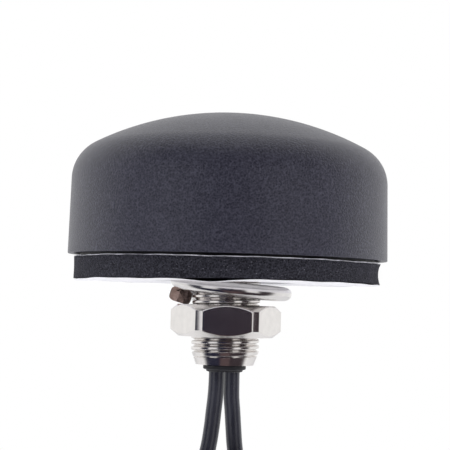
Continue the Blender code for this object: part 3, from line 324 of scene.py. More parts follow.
def cableJacket():
    made = Finish("cableJacket", (0.028, 0.029, 0.040), 0.36)
    haze = made.noise(1.2 * mm, 3.0, at=made.stretched(1.0, 1.0, 0.2))
    fleck = made.noise(0.15 * mm, 1.0)
    made.colours(haze, (0.022, 0.023, 0.033), (0.036, 0.037, 0.050))
    made.set("Roughness", 0.20 + 0.16 * haze)
    made.bump(haze + 0.3 * fleck, 0.02 * mm)
    return made.material


def mouldedRubber(name="mouldedRubber", tone=0.014):
    made = Finish(name, (tone, tone, tone * 1.25), 0.6)
    haze = made.noise(0.8 * mm, 3.0)
    made.colours(haze, (tone * 0.8, tone * 0.8, tone), (tone * 1.4, tone * 1.4, tone * 1.7))
    made.set("Roughness", 0.5 + 0.25 * haze)
    made.bump(haze, 0.02 * mm)
    return made.material


def silveryFilm():
    made = Finish("silveryFilm", (0.30, 0.30, 0.36), 0.35)
    crease = made.noise(1.3 * mm, 4.0, 0.6)
    made.colours(crease, (0.22, 0.22, 0.26), (0.80, 0.80, 0.88))
    made.bump(crease, 0.05 * mm)
    return made.material


def linerPaper():
    made = Finish("linerPaper", (0.80, 0.80, 0.86), 0.5)
    fibre = made.noise(0.5 * mm, 4.0)
    made.colours(fibre, (0.84, 0.84, 0.90), (0.93, 0.93, 0.96))
    made.bump(fibre, 0.01 * mm)
    return made.material


def plainFinish(name, colour, roughness, metallic, grainSize, depth):
    made = Finish(name, colour, roughness, metallic)
    grain = made.noise(grainSize, 3.0)
    made.colours(grain, tuple(c * 0.82 for c in colour), tuple(min(1.0, c * 1.12) for c in colour))
    made.set("Roughness", roughness * 0.85 + roughness * 0.3 * grain)
    made.bump(grain, depth)
    return made.material


finishes = {
    "textured_plastic": radomePlastic(),
    "base_plastic": plainFinish("basePlastic", (0.012, 0.012, 0.015), 0.5, 0.0, 0.6 * mm, 0.02 * mm),
    "foam": foamRubber(),
    "adhesive_film": silveryFilm(),
    "liner_paper": linerPaper(),
    "nickel": nickelPlate(),
    "washer_steel": nickelPlate("washerNickel", (0.74, 0.72, 0.71), 0.16),
    "rubber": mouldedRubber(),
    "cable_jacket": cableJacket(),
    "screw_steel": plainFinish("zincPlate", (0.55, 0.56, 0.58), 0.3, 1.0, 0.5 * mm, 0.01 * mm),
    "board_green": plainFinish("solderMask", (0.015, 0.12, 0.05), 0.35, 0.0, 0.9 * mm, 0.01 * mm),
    "ceramic": plainFinish("firedCeramic", (0.55, 0.48, 0.36), 0.5, 0.0, 0.3 * mm, 0.02 * mm),
    "silver": plainFinish("firedSilver", (0.80, 0.79, 0.76), 0.35, 1.0, 0.3 * mm, 0.01 * mm),
    "tinned_steel": plainFinish("tinPlate", (0.66, 0.66, 0.67), 0.3, 1.0, 0.8 * mm, 0.01 * mm),
    "chip": plainFinish("mouldCompound", (0.02, 0.02, 0.021), 0.5, 0.0, 0.2 * mm, 0.01 * mm),
    "copper_flex": plainFinish("copperFlex", (0.72, 0.36, 0.20), 0.3, 1.0, 0.7 * mm, 0.01 * mm),
    "gold": plainFinish("goldPlate", (0.86, 0.62, 0.26), 0.22, 1.0, 0.6 * mm, 0.006 * mm),
    "insulator_white": plainFinish("insulator", (0.80, 0.80, 0.77), 0.4, 0.0, 0.5 * mm, 0.01 * mm),
    "tie_nylon": plainFinish("tieNylon", (0.02, 0.02, 0.022), 0.4, 0.0, 0.5 * mm, 0.02 * mm),
}
nodeSlots = {entry["node"]: entry["material_slot"] for entry in frame["record"]["subparts"]}
for nodeName, node in frame["nodes"].items():
    node.data.materials.clear()
    node.data.materials.append(finishes[nodeSlots[nodeName]])
print("finishes:", len(finishes))


# Shapes
def pieceFrom(name, mesh, body, slot, replaced=(), angle=40.0):
    if not mesh.materials:
        mesh.materials.append(finishes[slot])
    mesh.shade_smooth()
    mesh.set_sharp_from_angle(angle=math.radians(angle))
    piece = bpy.data.objects.new(name, mesh)
    bpy.context.scene.collection.objects.link(piece)
    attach(piece, body)
    if replaced:
        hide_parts(*replaced)
    return piece


def meshFrom(name, points, faces):
    mesh = bpy.data.meshes.new(name)
    mesh.from_pydata([tuple(p) for p in points], [], faces)
    bm = bmesh.new()
    bm.from_mesh(mesh)
    bmesh.ops.remove_doubles(bm, verts=bm.verts, dist=1e-7)
    bmesh.ops.recalc_face_normals(bm, faces=bm.faces)
    bm.to_mesh(mesh)
    bm.free()
    return mesh


def loftedMesh(name, rings, closed=True):
    # rings of equal length, joined one to the next; an open stack is capped at both ends
    rings = np.asarray(rings, float)
    count, around = rings.shape[:2]
    faces = []
    for i in range(count if closed else count - 1):
        after = (i + 1) % count
        for j in range(around):
            beside = (j + 1) % around
            faces.append((i * around + j, i * around + beside, after * around + beside, after * around + j))
    if not closed:
        faces.append(tuple(range(around))[::-1])
        faces.append(tuple((count - 1) * around + j for j in range(around)))
    return meshFrom(name, rings.reshape(-1, 3), faces)


def turnedRings(profile, steps):
    angles = np.linspace(0.0, math.tau, steps, endpoint=False)
    radii, heights = np.array(profile, float).T
    return np.stack(
        [np.outer(radii, np.cos(angles)), np.outer(radii, np.sin(angles)), np.outer(heights, np.ones(steps))], axis=-1
    )


def turnedPiece(name, profile, body, slot, replaced=(), steps=96, at=(0, 0, 0), closed=True, angle=40.0):
    rings = turnedRings(profile, steps) + np.array(at)
    return pieceFrom(name, loftedMesh(name, rings, closed), body, slot, replaced, angle)


def roundedProfile(corners, fillets, steps=4):
    # replaces each corner by an arc of its own radius
    points = []
    count = len(corners)
    for i, fillet in enumerate(fillets):
        here = np.array(corners[i], float)
        before = np.array(corners[i - 1], float) - here
        after = np.array(corners[(i + 1) % count], float) - here
        if fillet <= 0:
            points.append(here)
            continue
        a, b = before / np.linalg.norm(before), after / np.linalg.norm(after)
        half = math.acos(np.clip(a @ b, -1, 1)) / 2
        reach = min(fillet / math.tan(half), 0.49 * np.linalg.norm(before), 0.49 * np.linalg.norm(after))
        for t in np.linspace(0, 1, steps + 1):
            points.append(here + a * reach * (1 - t) ** 2 + b * reach * t**2)
    return points


def smoothNoise(angles, seed, waves):
    # a gentle closed wobble round a ring, between about -1 and 1
    random = np.random.default_rng(seed)
    total = np.zeros_like(angles)
    for wave, size in waves:
        total += size * np.sin(wave * angles + random.uniform(0, math.tau))
    return total


# Leads, each with its spare length wound into a coil and its connector at the end
leadFacts = {
    "diameter": 2.7 * mm, "turnSpacing": 2.8 * mm, "outerTurn": 24.7 * mm, "planes": 5, "layers": 5,
    "stepsPerTurn": 36, "sides": 28, "crossingStart": 200.0, "crossingWidth": 90.0, "cornerBulge": 0.95 * mm,
    "jacket": 2.79 * mm, "spacing": 1.38 * mm, "tuck": 0.9 * mm, "press": 0.07 * mm, "pressedSteps": 3, "length": 3.0,
}
coilTop = -16.0 * mm  # height at which the leads leave the stud's plug
leadRoutes = {
    "a": {
        "side": -1, "centre": (0.00431, -0.00845, coilTop - 43.996 * mm), "turned": False,
        "steps": [
            (0, 0, 0), (-0.03, 0, -2.1), (-0.16, 0, -4.4), (-0.31, 0, -6.6), (-0.49, 0, -8.7), (-0.74, -0.1, -10.8),
            (-1.07, -0.3, -12.9), (-1.67, -0.7, -15.2), (-2.67, -1.3, -17.5), (-4.22, -2.0, -19.7),
            (-6.32, -2.6, -21.6), (-8.62, -2.85, -23.1), (-11.22, -2.85, -24.95),
        ],
    },
    "b": {
        "side": 1, "centre": (-0.00516, 0.00845, coilTop - 44.746 * mm), "turned": True,
        "steps": [
            (0, 0, 0), (0.02, 0, -2.1), (0.07, 0, -4.2), (0.19, 0, -6.1), (0.36, 0, -8.1), (0.54, 0.1, -10.2),
            (0.74, 0.3, -12.3), (1.12, 0.6, -14.7), (1.87, 1.1, -17.2), (3.22, 1.8, -19.8), (5.22, 2.5, -22.1),
            (7.62, 2.85, -23.9), (10.37, 2.85, -25.7),
        ],
    },
}
endSteps = [
    (0, 0, 0), (-2.6, -1.0, -0.2), (-5.2, -2.8, -1.2), (-7.6, -4.8, -3.3), (-9.6, -6.2, -6.3), (-10.9, -6.9, -9.9),
    (-11.5, -7.1, -13.5), (-11.6, -7.1, -16.1),
]


def catmullRom(points, spacing):
    points = [Vector(p) for p in points]
    ends = [2 * points[0] - points[1], *points, 2 * points[-1] - points[-2]]
    line = [points[0]]
    for a, b, c, d in zip(ends, ends[1:], ends[2:], ends[3:]):
        steps = max(1, round((c - b).length / spacing))
        for k in range(1, steps + 1):
            t = k / steps
            bend = (2 * a - 5 * b + 4 * c - d) * t * t + (3 * b - a - 3 * c + d) * t**3
            line.append(0.5 * (2 * b + (c - a) * t + bend))
    return line


def turnSlots():
    # (radius, plane) of each turn's place in the bundle, wound there and back, layer by layer inwards
    gap, planes = leadFacts["turnSpacing"], leadFacts["planes"]
    places = []
    for layer in range(leadFacts["layers"]):
        radius = leadFacts["outerTurn"] - layer * gap
        offsets = [((planes - 1) / 2 - i) * gap for i in range(planes)]
        places += [(radius, offset) for offset in (offsets if layer % 2 == 0 else offsets[::-1])]
    return places


def coilPoints():
    # in the coil's own frame: wound round Y, counter-clockwise seen from -Y
    places = turnSlots()
    start, finish = 140.0, 90.0 + 360.0 * len(places)
    crossing, width = leadFacts["crossingStart"], leadFacts["crossingWidth"]
    steps = round((finish - start) / 360.0 * leadFacts["stepsPerTurn"])
    points = []
    for k in range(steps + 1):
        degrees = start + (finish - start) * k / steps
        turn = int((degrees - crossing) // 360.0)
        share = min(1.0, ((degrees - crossing) % 360.0) / width)
        before = places[max(turn, 0)] if turn >= 0 else places[0]
        after = places[min(turn + 1, len(places) - 1)] if turn >= 0 else places[0]
        ease = share * share * (3 - 2 * share)
        radius = before[0] + (after[0] - before[0]) * ease
        plane = before[1] + (after[1] - before[1]) * ease
        if before[0] != after[0]:
            plane += math.copysign(leadFacts["cornerBulge"], before[1]) * math.sin(math.pi * share) ** 2
        a = math.radians(degrees)
        points.append(Vector((radius * math.cos(a), plane, radius * math.sin(a))))
    return points


def leadLine(letter):
    facts = leadRoutes[letter]
    frameOf = Matrix.Translation(facts["centre"]) @ Matrix.Rotation(math.pi if facts["turned"] else 0.0, 4, "Z")
    exit = Vector((facts["side"] * leadFacts["spacing"], 0.0, coilTop))
    steps = [exit + Vector(p) * mm for p in facts["steps"]]
    steps[0].z += leadFacts["tuck"]  # the visible lead begins just inside the plug's opening
    for i in range(leadFacts["pressedSteps"]):  # where the two jackets press on each other
        steps[i].x -= facts["side"] * leadFacts["press"]
    coil = [frameOf @ p for p in coilPoints()]
    into = catmullRom([*steps, coil[0]], 1.0 * mm)
    leaving = Vector((0.0, -5.6 * mm, 13.5 * mm))
    end = [frameOf @ p for p in catmullRom([leaving + Vector(p) * mm for p in endSteps], 1.0 * mm)]
    return into[:-1] + coil[:-1] + end


def tubeRings(line, radius, sides):
    line = np.array([tuple(p) for p in line])
    along = np.gradient(line, axis=0)
    along /= np.linalg.norm(along, axis=1, keepdims=True)
    across = np.cross(along[0], (0.0, 1.0, 0.0))
    across /= np.linalg.norm(across)
    angles = np.linspace(0, math.tau, sides, endpoint=False)
    rings = []
    for place, direction in zip(line, along):
        across = across - direction * (across @ direction)
        across /= np.linalg.norm(across)
        other = np.cross(direction, across)
        rings.append(place + radius * (np.outer(np.cos(angles), across) + np.outer(np.sin(angles), other)))
    return rings


def lineLength(line):
    return sum((b - a).length for a, b in zip(line, line[1:]))


connectorFacts = {
    "gap": 0.3 * mm, "bootLength": 9.0 * mm, "bodyRadius": 3.0 * mm,
    "bodyLength": 2.6 * mm, "neckRadius": 2.2 * mm, "neckLength": 1.4 * mm, "shellRadius": 2.3 * mm,
    "shellLength": 3.8 * mm, "insulatorRadius": 1.85 * mm, "contactRadius": 0.46 * mm, "flats": 8.0 * mm,
    "couplingLength": 7.6 * mm, "boreRadius": 3.175 * mm, "seat": 0.1 * mm, "bore": 1.45 * mm,
}


def ruleTree(name, sizes):
    # a new tree with one named input for each size, and one for the finish
    tree = bpy.data.node_groups.new(name, "GeometryNodeTree")
    for label, value in sizes.items():
        tree.interface.new_socket(label, in_out="INPUT", socket_type="NodeSocketFloat").default_value = value
    tree.interface.new_socket("Finish", in_out="INPUT", socket_type="NodeSocketMaterial")
    tree.interface.new_socket("Geometry", in_out="OUTPUT", socket_type="NodeSocketGeometry")
    kit = Kit(tree)
    entry = tree.nodes.new("NodeGroupInput")
    return tree, kit, {socket.name: Val(kit, socket) for socket in entry.outputs if socket.name}


def finishTree(tree, kit, shape, given):
    real = kit.add("GeometryNodeRealizeInstances", inputs=[shape])
    painted = kit.add("GeometryNodeSetMaterial", inputs={"Geometry": real, "Material": given["Finish"]})
    tree.links.new(painted.socket, tree.nodes.new("NodeGroupOutput").inputs[0])
    return tree


def grown(name, tree, values):
    # runs a tree on an empty mesh and keeps its result as a plain mesh
    holder = bpy.data.objects.new(name, bpy.data.meshes.new(name))
    bpy.context.scene.collection.objects.link(holder)
    modifier = holder.modifiers.new("rule", "NODES")
    modifier.node_group = tree
    for item in tree.interface.items_tree:
        if item.in_out == "INPUT" and item.name in values:
            modifier[item.identifier] = values[item.name]
    graph = bpy.context.evaluated_depsgraph_get()
    mesh = bpy.data.meshes.new_from_object(holder.evaluated_get(graph))
    bpy.data.objects.remove(holder)
    mesh.name = name
    mesh.materials.clear()
    mesh.materials.append(values["Finish"])
    return mesh


def boredThrough(mesh, bore):
    # turns the open ends inwards to the bore and joins them down the middle
    bm = bmesh.new()
    bm.from_mesh(mesh)
    rims = [edge for edge in bm.edges if edge.is_boundary]
    made = bmesh.ops.extrude_edge_only(bm, edges=rims)["geom"]
    for vert in made:
        if isinstance(vert, bmesh.types.BMVert):
            scale = bore / math.hypot(vert.co.x, vert.co.y)
            vert.co.x *= scale
            vert.co.y *= scale
    bmesh.ops.bridge_loops(bm, edges=[item for item in made if isinstance(item, bmesh.types.BMEdge)])
    bmesh.ops.recalc_face_normals(bm, faces=bm.faces)
    bm.to_mesh(mesh)
    bm.free()
    return mesh


bootFacts = {
    "radius": 2.3 * mm, "length": 9.0 * mm, "ribs": 5, "ribPitch": 0.99 * mm, "ribStart": 3.06 * mm,
    "groove": 0.45 * mm, "flank": 0.1 * mm, "grooveWidth": 0.5 * mm, "taper": 0.13, "edge": 0.15 * mm,
    "tip": 1.0 * mm, "bore": 0.92 * mm, "around": 48, "rows": 180,
}


def bootTree():
    # a tapering sleeve with grooves at an even pitch, which leave the ribs between them
    f = bootFacts
    tree, kit, given = ruleTree("ribbedBoot", {
        "Radius": f["radius"], "Length": f["length"], "Ribs": f["ribs"], "Rib Pitch": f["ribPitch"],
        "Rib Start": f["ribStart"], "Groove": f["groove"], "Taper": f["taper"], "Tip": f["tip"],
    })
    grid = kit.add("GeometryNodeMeshGrid", inputs=[1.0, 1.0, f["around"] + 1, f["rows"]])
    x, y, _ = kit.split(kit.add("GeometryNodeInputPosition"))
    turn, height = x + 0.5, (y + 0.5) * given["Length"]
    along = height - given["Rib Start"]
    sleeve = given["Radius"] - given["Taper"] * along.math("MAXIMUM", 0.0)
    step = (along / given["Rib Pitch"]).math("FRACT") * given["Rib Pitch"]
    cut = (step / f["flank"]).math("MINIMUM", (f["grooveWidth"] - step) / f["flank"])
    cut = cut.math("MAXIMUM", 0.0).math("MINIMUM", 1.0)
    ribbed = kit.remap(along, 0.0, 1e-5) * (1.0 - kit.remap(along / given["Rib Pitch"], given["Ribs"], given["Ribs"] + 0.01))
    radius = sleeve - given["Groove"] * cut * ribbed
    radius = radius.math("MINIMUM", given["Radius"] - f["edge"] + height)
    radius = radius.math("MINIMUM", given["Radius"] - given["Tip"] + given["Length"] - height)
    angle = turn * math.tau
    spot = kit.join(angle.math("COSINE") * radius, angle.math("SINE") * radius, height)
    moved = kit.add("GeometryNodeSetPosition", inputs={"Geometry": grid, "Position": spot})
    joined = kit.add("GeometryNodeMergeByDistance", inputs={"Geometry": moved, "Distance": 1e-6})
    return finishTree(tree, kit, joined, given)


def makeBoot(letter, top):
    f = bootFacts
    mesh = boredThrough(grown(f"boot_{letter}", bootTree(), {"Finish": finishes["rubber"]}), f["bore"])
    low = top.z - connectorFacts["gap"] - f["length"]
    mesh.transform(Matrix.Translation((top.x, top.y, low)))
    return pieceFrom(f"boot.{letter}", mesh, "housing", "rubber", [f"connector_boot_{letter}"], 35.0)


def hexRadius(angles, flats, turn=0.0):
    near = (angles - math.radians(turn) + math.pi / 6) % (math.pi / 3) - math.pi / 6
    return flats / 2 / np.cos(near)


def softMin(a, b, blend):
    mix = np.clip(0.5 + 0.5 * (b - a) / blend, 0.0, 1.0)
    return b * (1 - mix) + a * mix - blend * mix * (1 - mix)


def ruledRings(rows, steps, radiusRule, at=(0.0, 0.0, 0.0)):
    # each row is (widest radius, height), which the rule may narrow at each angle
    angles = np.linspace(0.0, math.tau, steps, endpoint=False)
    rings = []
    for widest, height, ruled in rows:
        radius = radiusRule(angles, widest, height) if ruled else np.full(steps, widest)
        ring = np.stack([radius * np.cos(angles), radius * np.sin(angles), np.full(steps, height)], axis=-1)
        rings.append(ring + np.array(at))
    return rings


def hexedRows(bore, low, high, wide, chamfer, slope, boreChamfer, wallRows, under=None):
    # the section of a nut with turned-off corners, from the bore's low edge round to its high edge;
    # under holds the low side's own chamfer and slope
    upper, upperSlope = chamfer, slope
    chamfer, slope = under or (chamfer, slope)
    drop = (wide - chamfer) * slope
    upperDrop = (wide - upper) * upperSlope
    rows = [(bore, low + boreChamfer, False), (bore + boreChamfer, low, False)]
    rows += [(r, low, True) for r in np.linspace(bore + 2 * boreChamfer, chamfer, 5)]
    rows += [(chamfer + (wide - chamfer) * t, low + drop * t, True) for t in np.linspace(0.08, 1, 12)]
    rows += [(wide, z, True) for z in np.linspace(low + drop, high - upperDrop, wallRows)[1:-1]]
    rows += [(wide - (wide - upper) * t, high - upperDrop * (1 - t), True) for t in np.linspace(0, 0.92, 12)]
    rows += [(r, high, True) for r in np.linspace(upper, bore + 2 * boreChamfer, 5)]
    rows += [(bore + boreChamfer, high, False), (bore, high - boreChamfer, False)]
    return rows


def makeCoupling(letter, top):
    f = connectorFacts
    high = top.z - f["gap"] - f["bootLength"] - f["seat"] - f["bodyLength"] - f["seat"]
    low = high - f["couplingLength"]
    corner = f["flats"] / math.sqrt(3)
    rule = lambda angles, wide, height: softMin(hexRadius(angles, f["flats"]), np.full_like(angles, wide), 0.12 * mm)
    rows = hexedRows(f["boreRadius"], low, high, corner, corner - 0.5 * mm, 1.0, 0.25 * mm, 6)[:-2]
    web = high - f["neckLength"] + 2 * f["seat"]
    throat = f["shellRadius"] + 2 * f["seat"]
    rows += [(throat, high, False), (throat, web, False), (f["boreRadius"], web, False)]
    pitch = 0.7 * mm
    count = int((web - low) / pitch) - 1
    for i in range(count):  # the female thread, as rings one pitch apart
        z = web - pitch * (i + 0.8)
        rows += [(f["boreRadius"] - 0.02 * mm, z, False), (f["boreRadius"] + 0.22 * mm, z - pitch / 2, False)]
    rings = ruledRings(rows, 96, rule, (top.x, top.y, 0))
    name = f"coupling_nut_{letter}"
    mesh = loftedMesh(name, rings)
    return pieceFrom(f"couplingNut.{letter}", mesh, f"coupling_{letter}", "gold", [name], 30.0)


def makeConnectorBody(letter, top):
    f = connectorFacts
    z = top.z - f["gap"] - f["bootLength"] - f["seat"] - f["bodyLength"]
    neck = z - f["neckLength"]
    shell = neck - f["shellLength"]
    socket = f["insulatorRadius"] + f["seat"]
    edge = 0.15 * mm
    profile = [
        (0.4 * mm, z + f["bodyLength"]), (f["bodyRadius"] - edge, z + f["bodyLength"]),
        (f["bodyRadius"], z + f["bodyLength"] - edge), (f["bodyRadius"], z + edge), (f["bodyRadius"] - edge, z),
        (f["neckRadius"], z), (f["neckRadius"], neck), (f["shellRadius"], neck),
        (f["shellRadius"], shell + edge), (f["shellRadius"] - edge, shell), (socket, shell), (socket, neck), (0.4 * mm, neck),
    ]
    name = f"connector_body_{letter}"
    return turnedPiece(f"connectorBody.{letter}", profile, "housing", "gold", [name], 64, (top.x, top.y, 0), True, 30.0)


tieFacts = {
    "angle": 128.0, "width": 2.5 * mm, "thickness": 0.7 * mm, "corner": 1.2 * mm, "gap": 0.3 * mm,
    "head": (2.3 * mm, 4.4 * mm, 3.9 * mm), "tail": (0.75 * mm, 1.6 * mm, 2.3 * mm), "sunk": 0.3 * mm,
    "round": 0.35 * mm,
}


def roundedBlock(bm, centre, size, radius):
    made = bmesh.ops.create_cube(bm, size=1.0, matrix=Matrix.Translation(centre) @ Matrix.Diagonal((*size, 1.0)))
    edges = {edge for vert in made["verts"] for edge in vert.link_edges}
    bmesh.ops.bevel(bm, geom=list(edges), offset=radius, segments=3, profile=0.5, affect="EDGES")


def makeTie(letter):
    # a moulded strap round the bundle, its locking head on the outside and its tail cut off short
    facts, t = leadRoutes[letter], tieFacts
    spacing, radius = leadFacts["turnSpacing"], leadFacts["diameter"] / 2
    slack = 0.1 * mm
    halfY = (leadFacts["planes"] - 1) / 2 * spacing + radius + slack + t["gap"]
    outside = leadFacts["outerTurn"] + radius + slack
    inside = leadFacts["outerTurn"] - (leadFacts["layers"] - 1) * spacing - radius - slack
    middle, halfX = (outside + inside) / 2, (outside - inside) / 2 + t["gap"]
    rings = []
    edge = 0.12 * mm
    section = [(0.0, -1 + edge / t["width"] * 2), (0.0, 1 - edge / t["width"] * 2), (edge, 1.0), (t["thickness"] - edge, 1.0),
               (t["thickness"], 1 - edge / t["width"] * 2), (t["thickness"], -1 + edge / t["width"] * 2),
               (t["thickness"] - edge, -1.0), (edge, -1.0)]
    corner = t["corner"]
    for quarter, (sx, sy) in enumerate(((1, 1), (-1, 1), (-1, -1), (1, -1))):
        for k in range(7):
            a = math.pi / 2 * (quarter + k / 6)
            out = Vector((math.cos(a), math.sin(a), 0))
            base = Vector((sx * (halfX - corner), sy * (halfY - corner), 0)) + out * corner
            rings.append([base + out * depth + Vector((0, 0, share * t["width"] / 2)) for depth, share in section])
    place = Matrix.Translation(facts["centre"]) @ Matrix.Rotation(math.pi if facts["turned"] else 0.0, 4, "Z")
    place = place @ Matrix.Rotation(-math.radians(t["angle"]), 4, "Y") @ Matrix.Translation((middle, 0, 0))
    mesh = loftedMesh(f"tie_{letter}", rings)
    bm = bmesh.new()
    bm.from_mesh(mesh)
    headAt = halfX + t["thickness"] + t["head"][0] / 2 - t["sunk"]
    roundedBlock(bm, (headAt, 0, 0), t["head"], t["round"])
    roundedBlock(bm, (headAt, (t["head"][1] + t["tail"][1]) / 2 - t["sunk"], 0), t["tail"], t["round"] / 3)
    bmesh.ops.transform(bm, matrix=place, verts=bm.verts)
    bm.to_mesh(mesh)
    bm.free()
    return pieceFrom(f"tie.{letter}", mesh, "housing", "tie_nylon", [f"tie_{letter}"], 35.0)


for letter in "ab":
    line = leadLine(letter)
    lead = loftedMesh(f"lead_{letter}", tubeRings(line, leadFacts["jacket"] / 2, leadFacts["sides"]), False)
    solids = [f"cable_{letter}", f"coil_{letter}", f"cable_end_{letter}"]
    cord = pieceFrom(f"lead.{letter}", lead, "housing", "cable_jacket", solids, 60.0)
    cord.visible_glossy = False  # the put-away coil doesn't darken the nut's underside
    boot = makeBoot(letter, line[-1])
    body = makeConnectorBody(letter, line[-1])
    coupling = makeCoupling(letter, line[-1])
    tie = makeTie(letter)
    print("lead", letter, "measures", round(lineLength(line), 3), "m")


# Dome
def radomeProfile():
    low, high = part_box("radome")
    crown, shoulder, draft = 51.0 * mm, 7.0 * mm, 0.25 * mm
    wall = 1.8 * mm
    x = high.x - draft - shoulder
    z = high.z - crown + math.sqrt((crown - shoulder) ** 2 - x * x)
    centre = high.z - crown
    meeting = math.atan2(x, z - centre)

    def side(inset):
        points = [((crown - inset) * math.sin(meeting * t), centre + (crown - inset) * math.cos(meeting * t))
                  for t in np.linspace(0.004, 1, 40)]
        points += [(x + (shoulder - inset) * math.sin(a), z + (shoulder - inset) * math.cos(a))
                   for a in np.linspace(meeting, math.pi / 2, 24)[1:]]
        points += [(high.x - inset - draft * (1 - t), z + (low.z - z) * t) for t in np.linspace(0, 1, 9)[1:-1]]
        return points

    edge = 0.10 * mm
    lip = [(high.x, low.z + edge), (high.x - 0.3 * edge, low.z + 0.3 * edge), (high.x - edge, low.z),
           (high.x - wall + edge, low.z), (high.x - wall, low.z + edge)]
    return side(0.0) + lip + side(wall)[::-1]


def makeRadome():
    rings = turnedRings(radomeProfile(), 256)
    return pieceFrom("dome", loftedMesh("dome", rings, False), "housing", "textured_plastic", ["radome"], 50.0)


makeRadome()
print("dome")


# Gasket with its film and its release paper
gasketFacts = {"hollow": 0.05 * mm, "bite": 0.5 * mm, "biteWidth": 0.22, "rough": 0.05 * mm, "steps": 720, "rows": 22,
    "shift": -0.04 * mm, "hole": 12.3 * mm, "slackAbove": 0.0, "slackBelow": 0.36 * mm, "frontLift": 0.26 * mm}


def hang(angles, share):
    # the soft layers hang a little lower on the left; share is 0 under the foam and 1 on top of it
    f = gasketFacts
    slack = f["slackBelow"] + (f["slackAbove"] - f["slackBelow"]) * share
    lift = f["frontLift"] * (1 - share) * np.maximum(-np.sin(angles), 0.0)
    return slack * (1 - np.cos(angles)) / 2 - lift


def makeFoam():
    low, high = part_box("foam_gasket")
    f = gasketFacts
    angles = np.linspace(0.0, math.tau, f["steps"], endpoint=False)
    sideAngle = np.abs((angles + math.pi) % math.tau - math.pi)
    hollow = f["hollow"] + f["bite"] * np.exp(-((sideAngle / f["biteWidth"]) ** 2))
    sag = 0.07 * mm * smoothNoise(angles, 5, ((3, 0.6), (7, 0.4), (13, 0.3)))
    random = np.random.default_rng(11)
    rings = []
    outward = [(t, True) for t in np.linspace(0.0, 1.0, f["rows"])]
    for t, outer in outward + [(1 - t, False) for t, _ in outward]:
        depth = hollow * 4 * t * (1 - t) if outer else 0.2 * mm * 4 * t * (1 - t)
        fray = random.normal(0.0, f["rough"] * 0.35, f["steps"])
        radius = high.x - f["shift"] - depth - np.abs(fray) if outer else f["hole"] + depth + np.abs(fray)
        slack = hang(angles, t) if outer else 0.0  # the layers lie flat again at the hole
        height = low.z + (high.z - low.z) * t + (1 - t) * sag - slack
        middle = f["shift"] if outer else 0.0
        rings.append(np.stack([middle + radius * np.cos(angles), radius * np.sin(angles), height], axis=-1))
    foam = pieceFrom("gasket", loftedMesh("gasket", rings), "housing", "foam", ["foam_gasket"], 80.0)


def waveRing(name, low, high, outerRule, heightRule, slot, node, share, flap=None):
    angles = np.linspace(0.0, math.tau, 720, endpoint=False)
    hole, reach = 12.35 * mm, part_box(node)[1].x
    outer = reach + outerRule(angles)
    rings = []
    inwards = np.linspace(-1, 0, 12)[:-1] if flap else np.array([])
    shares = np.concatenate([inwards, np.linspace(0, 1, 10)])
    for part, z in [(t, low) for t in shares] + [(t, high) for t in shares[::-1]]:
        spread = max(part, 0.0)
        radius = hole + (outer - hole) * spread
        height = z + heightRule(angles) * (0.35 + 0.65 * spread) - hang(angles, share) * spread
        if part < 0:
            radius = hole + flap["reach"] * part
            height = z + 0.0 * angles + flap["rise"] * math.sqrt(1 - (1 + part) ** 2)
        rings.append(np.stack([radius * np.cos(angles), radius * np.sin(angles), height], axis=-1))
    return pieceFrom(name, loftedMesh(name, rings), "housing", slot, [node], 50.0)


def makeFilms():
    low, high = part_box("adhesive_film")
    waveRing(
        "film", low.z - 0.01 * mm, low.z + 0.13 * mm, lambda a: 0.02 * mm + 0.10 * mm * smoothNoise(a, 21, ((9, 0.5), (23, 0.5))),
        lambda a: 0.055 * mm * smoothNoise(a, 22, ((6, 0.5), (13, 0.4), (31, 0.4))), "adhesive_film", "adhesive_film", 1.0,
    )
    low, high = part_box("release_liner")
    sagAt, sagWidth = math.radians(264.0), math.radians(6.0)
    sag = lambda a: -0.38 * mm * np.exp(-(((a - sagAt) / sagWidth) ** 2))
    waveRing(
        "liner", high.z - 0.11 * mm, high.z - 0.03 * mm,
        lambda a: 0.05 * mm + 0.14 * mm * smoothNoise(a, 31, ((4, 0.5), (9, 0.4), (19, 0.3))),
        lambda a: sag(a) - 0.06 * mm + 0.10 * mm * smoothNoise(a, 32, ((5, 0.5), (11, 0.4), (23, 0.3))),
        "liner_paper", "release_liner", 0.0, {"reach": 5.1 * mm, "rise": 1.5 * mm},
    )


makeFoam()
makeFilms()
print("gasket, film and liner")


# Stud, cut by a rule in Geometry Nodes: one thread climbing a tapered rod
studFacts = {
    "radius": 6.0 * mm, "pitch": 1.0 * mm, "depth": 0.58 * mm, "endRadius": 5.1 * mm, "leadIn": 2.45 * mm,
    "bore": 3.4 * mm, "top": 3.4 * mm, "phase": 0.74, "around": 160, "rows": 420,
}


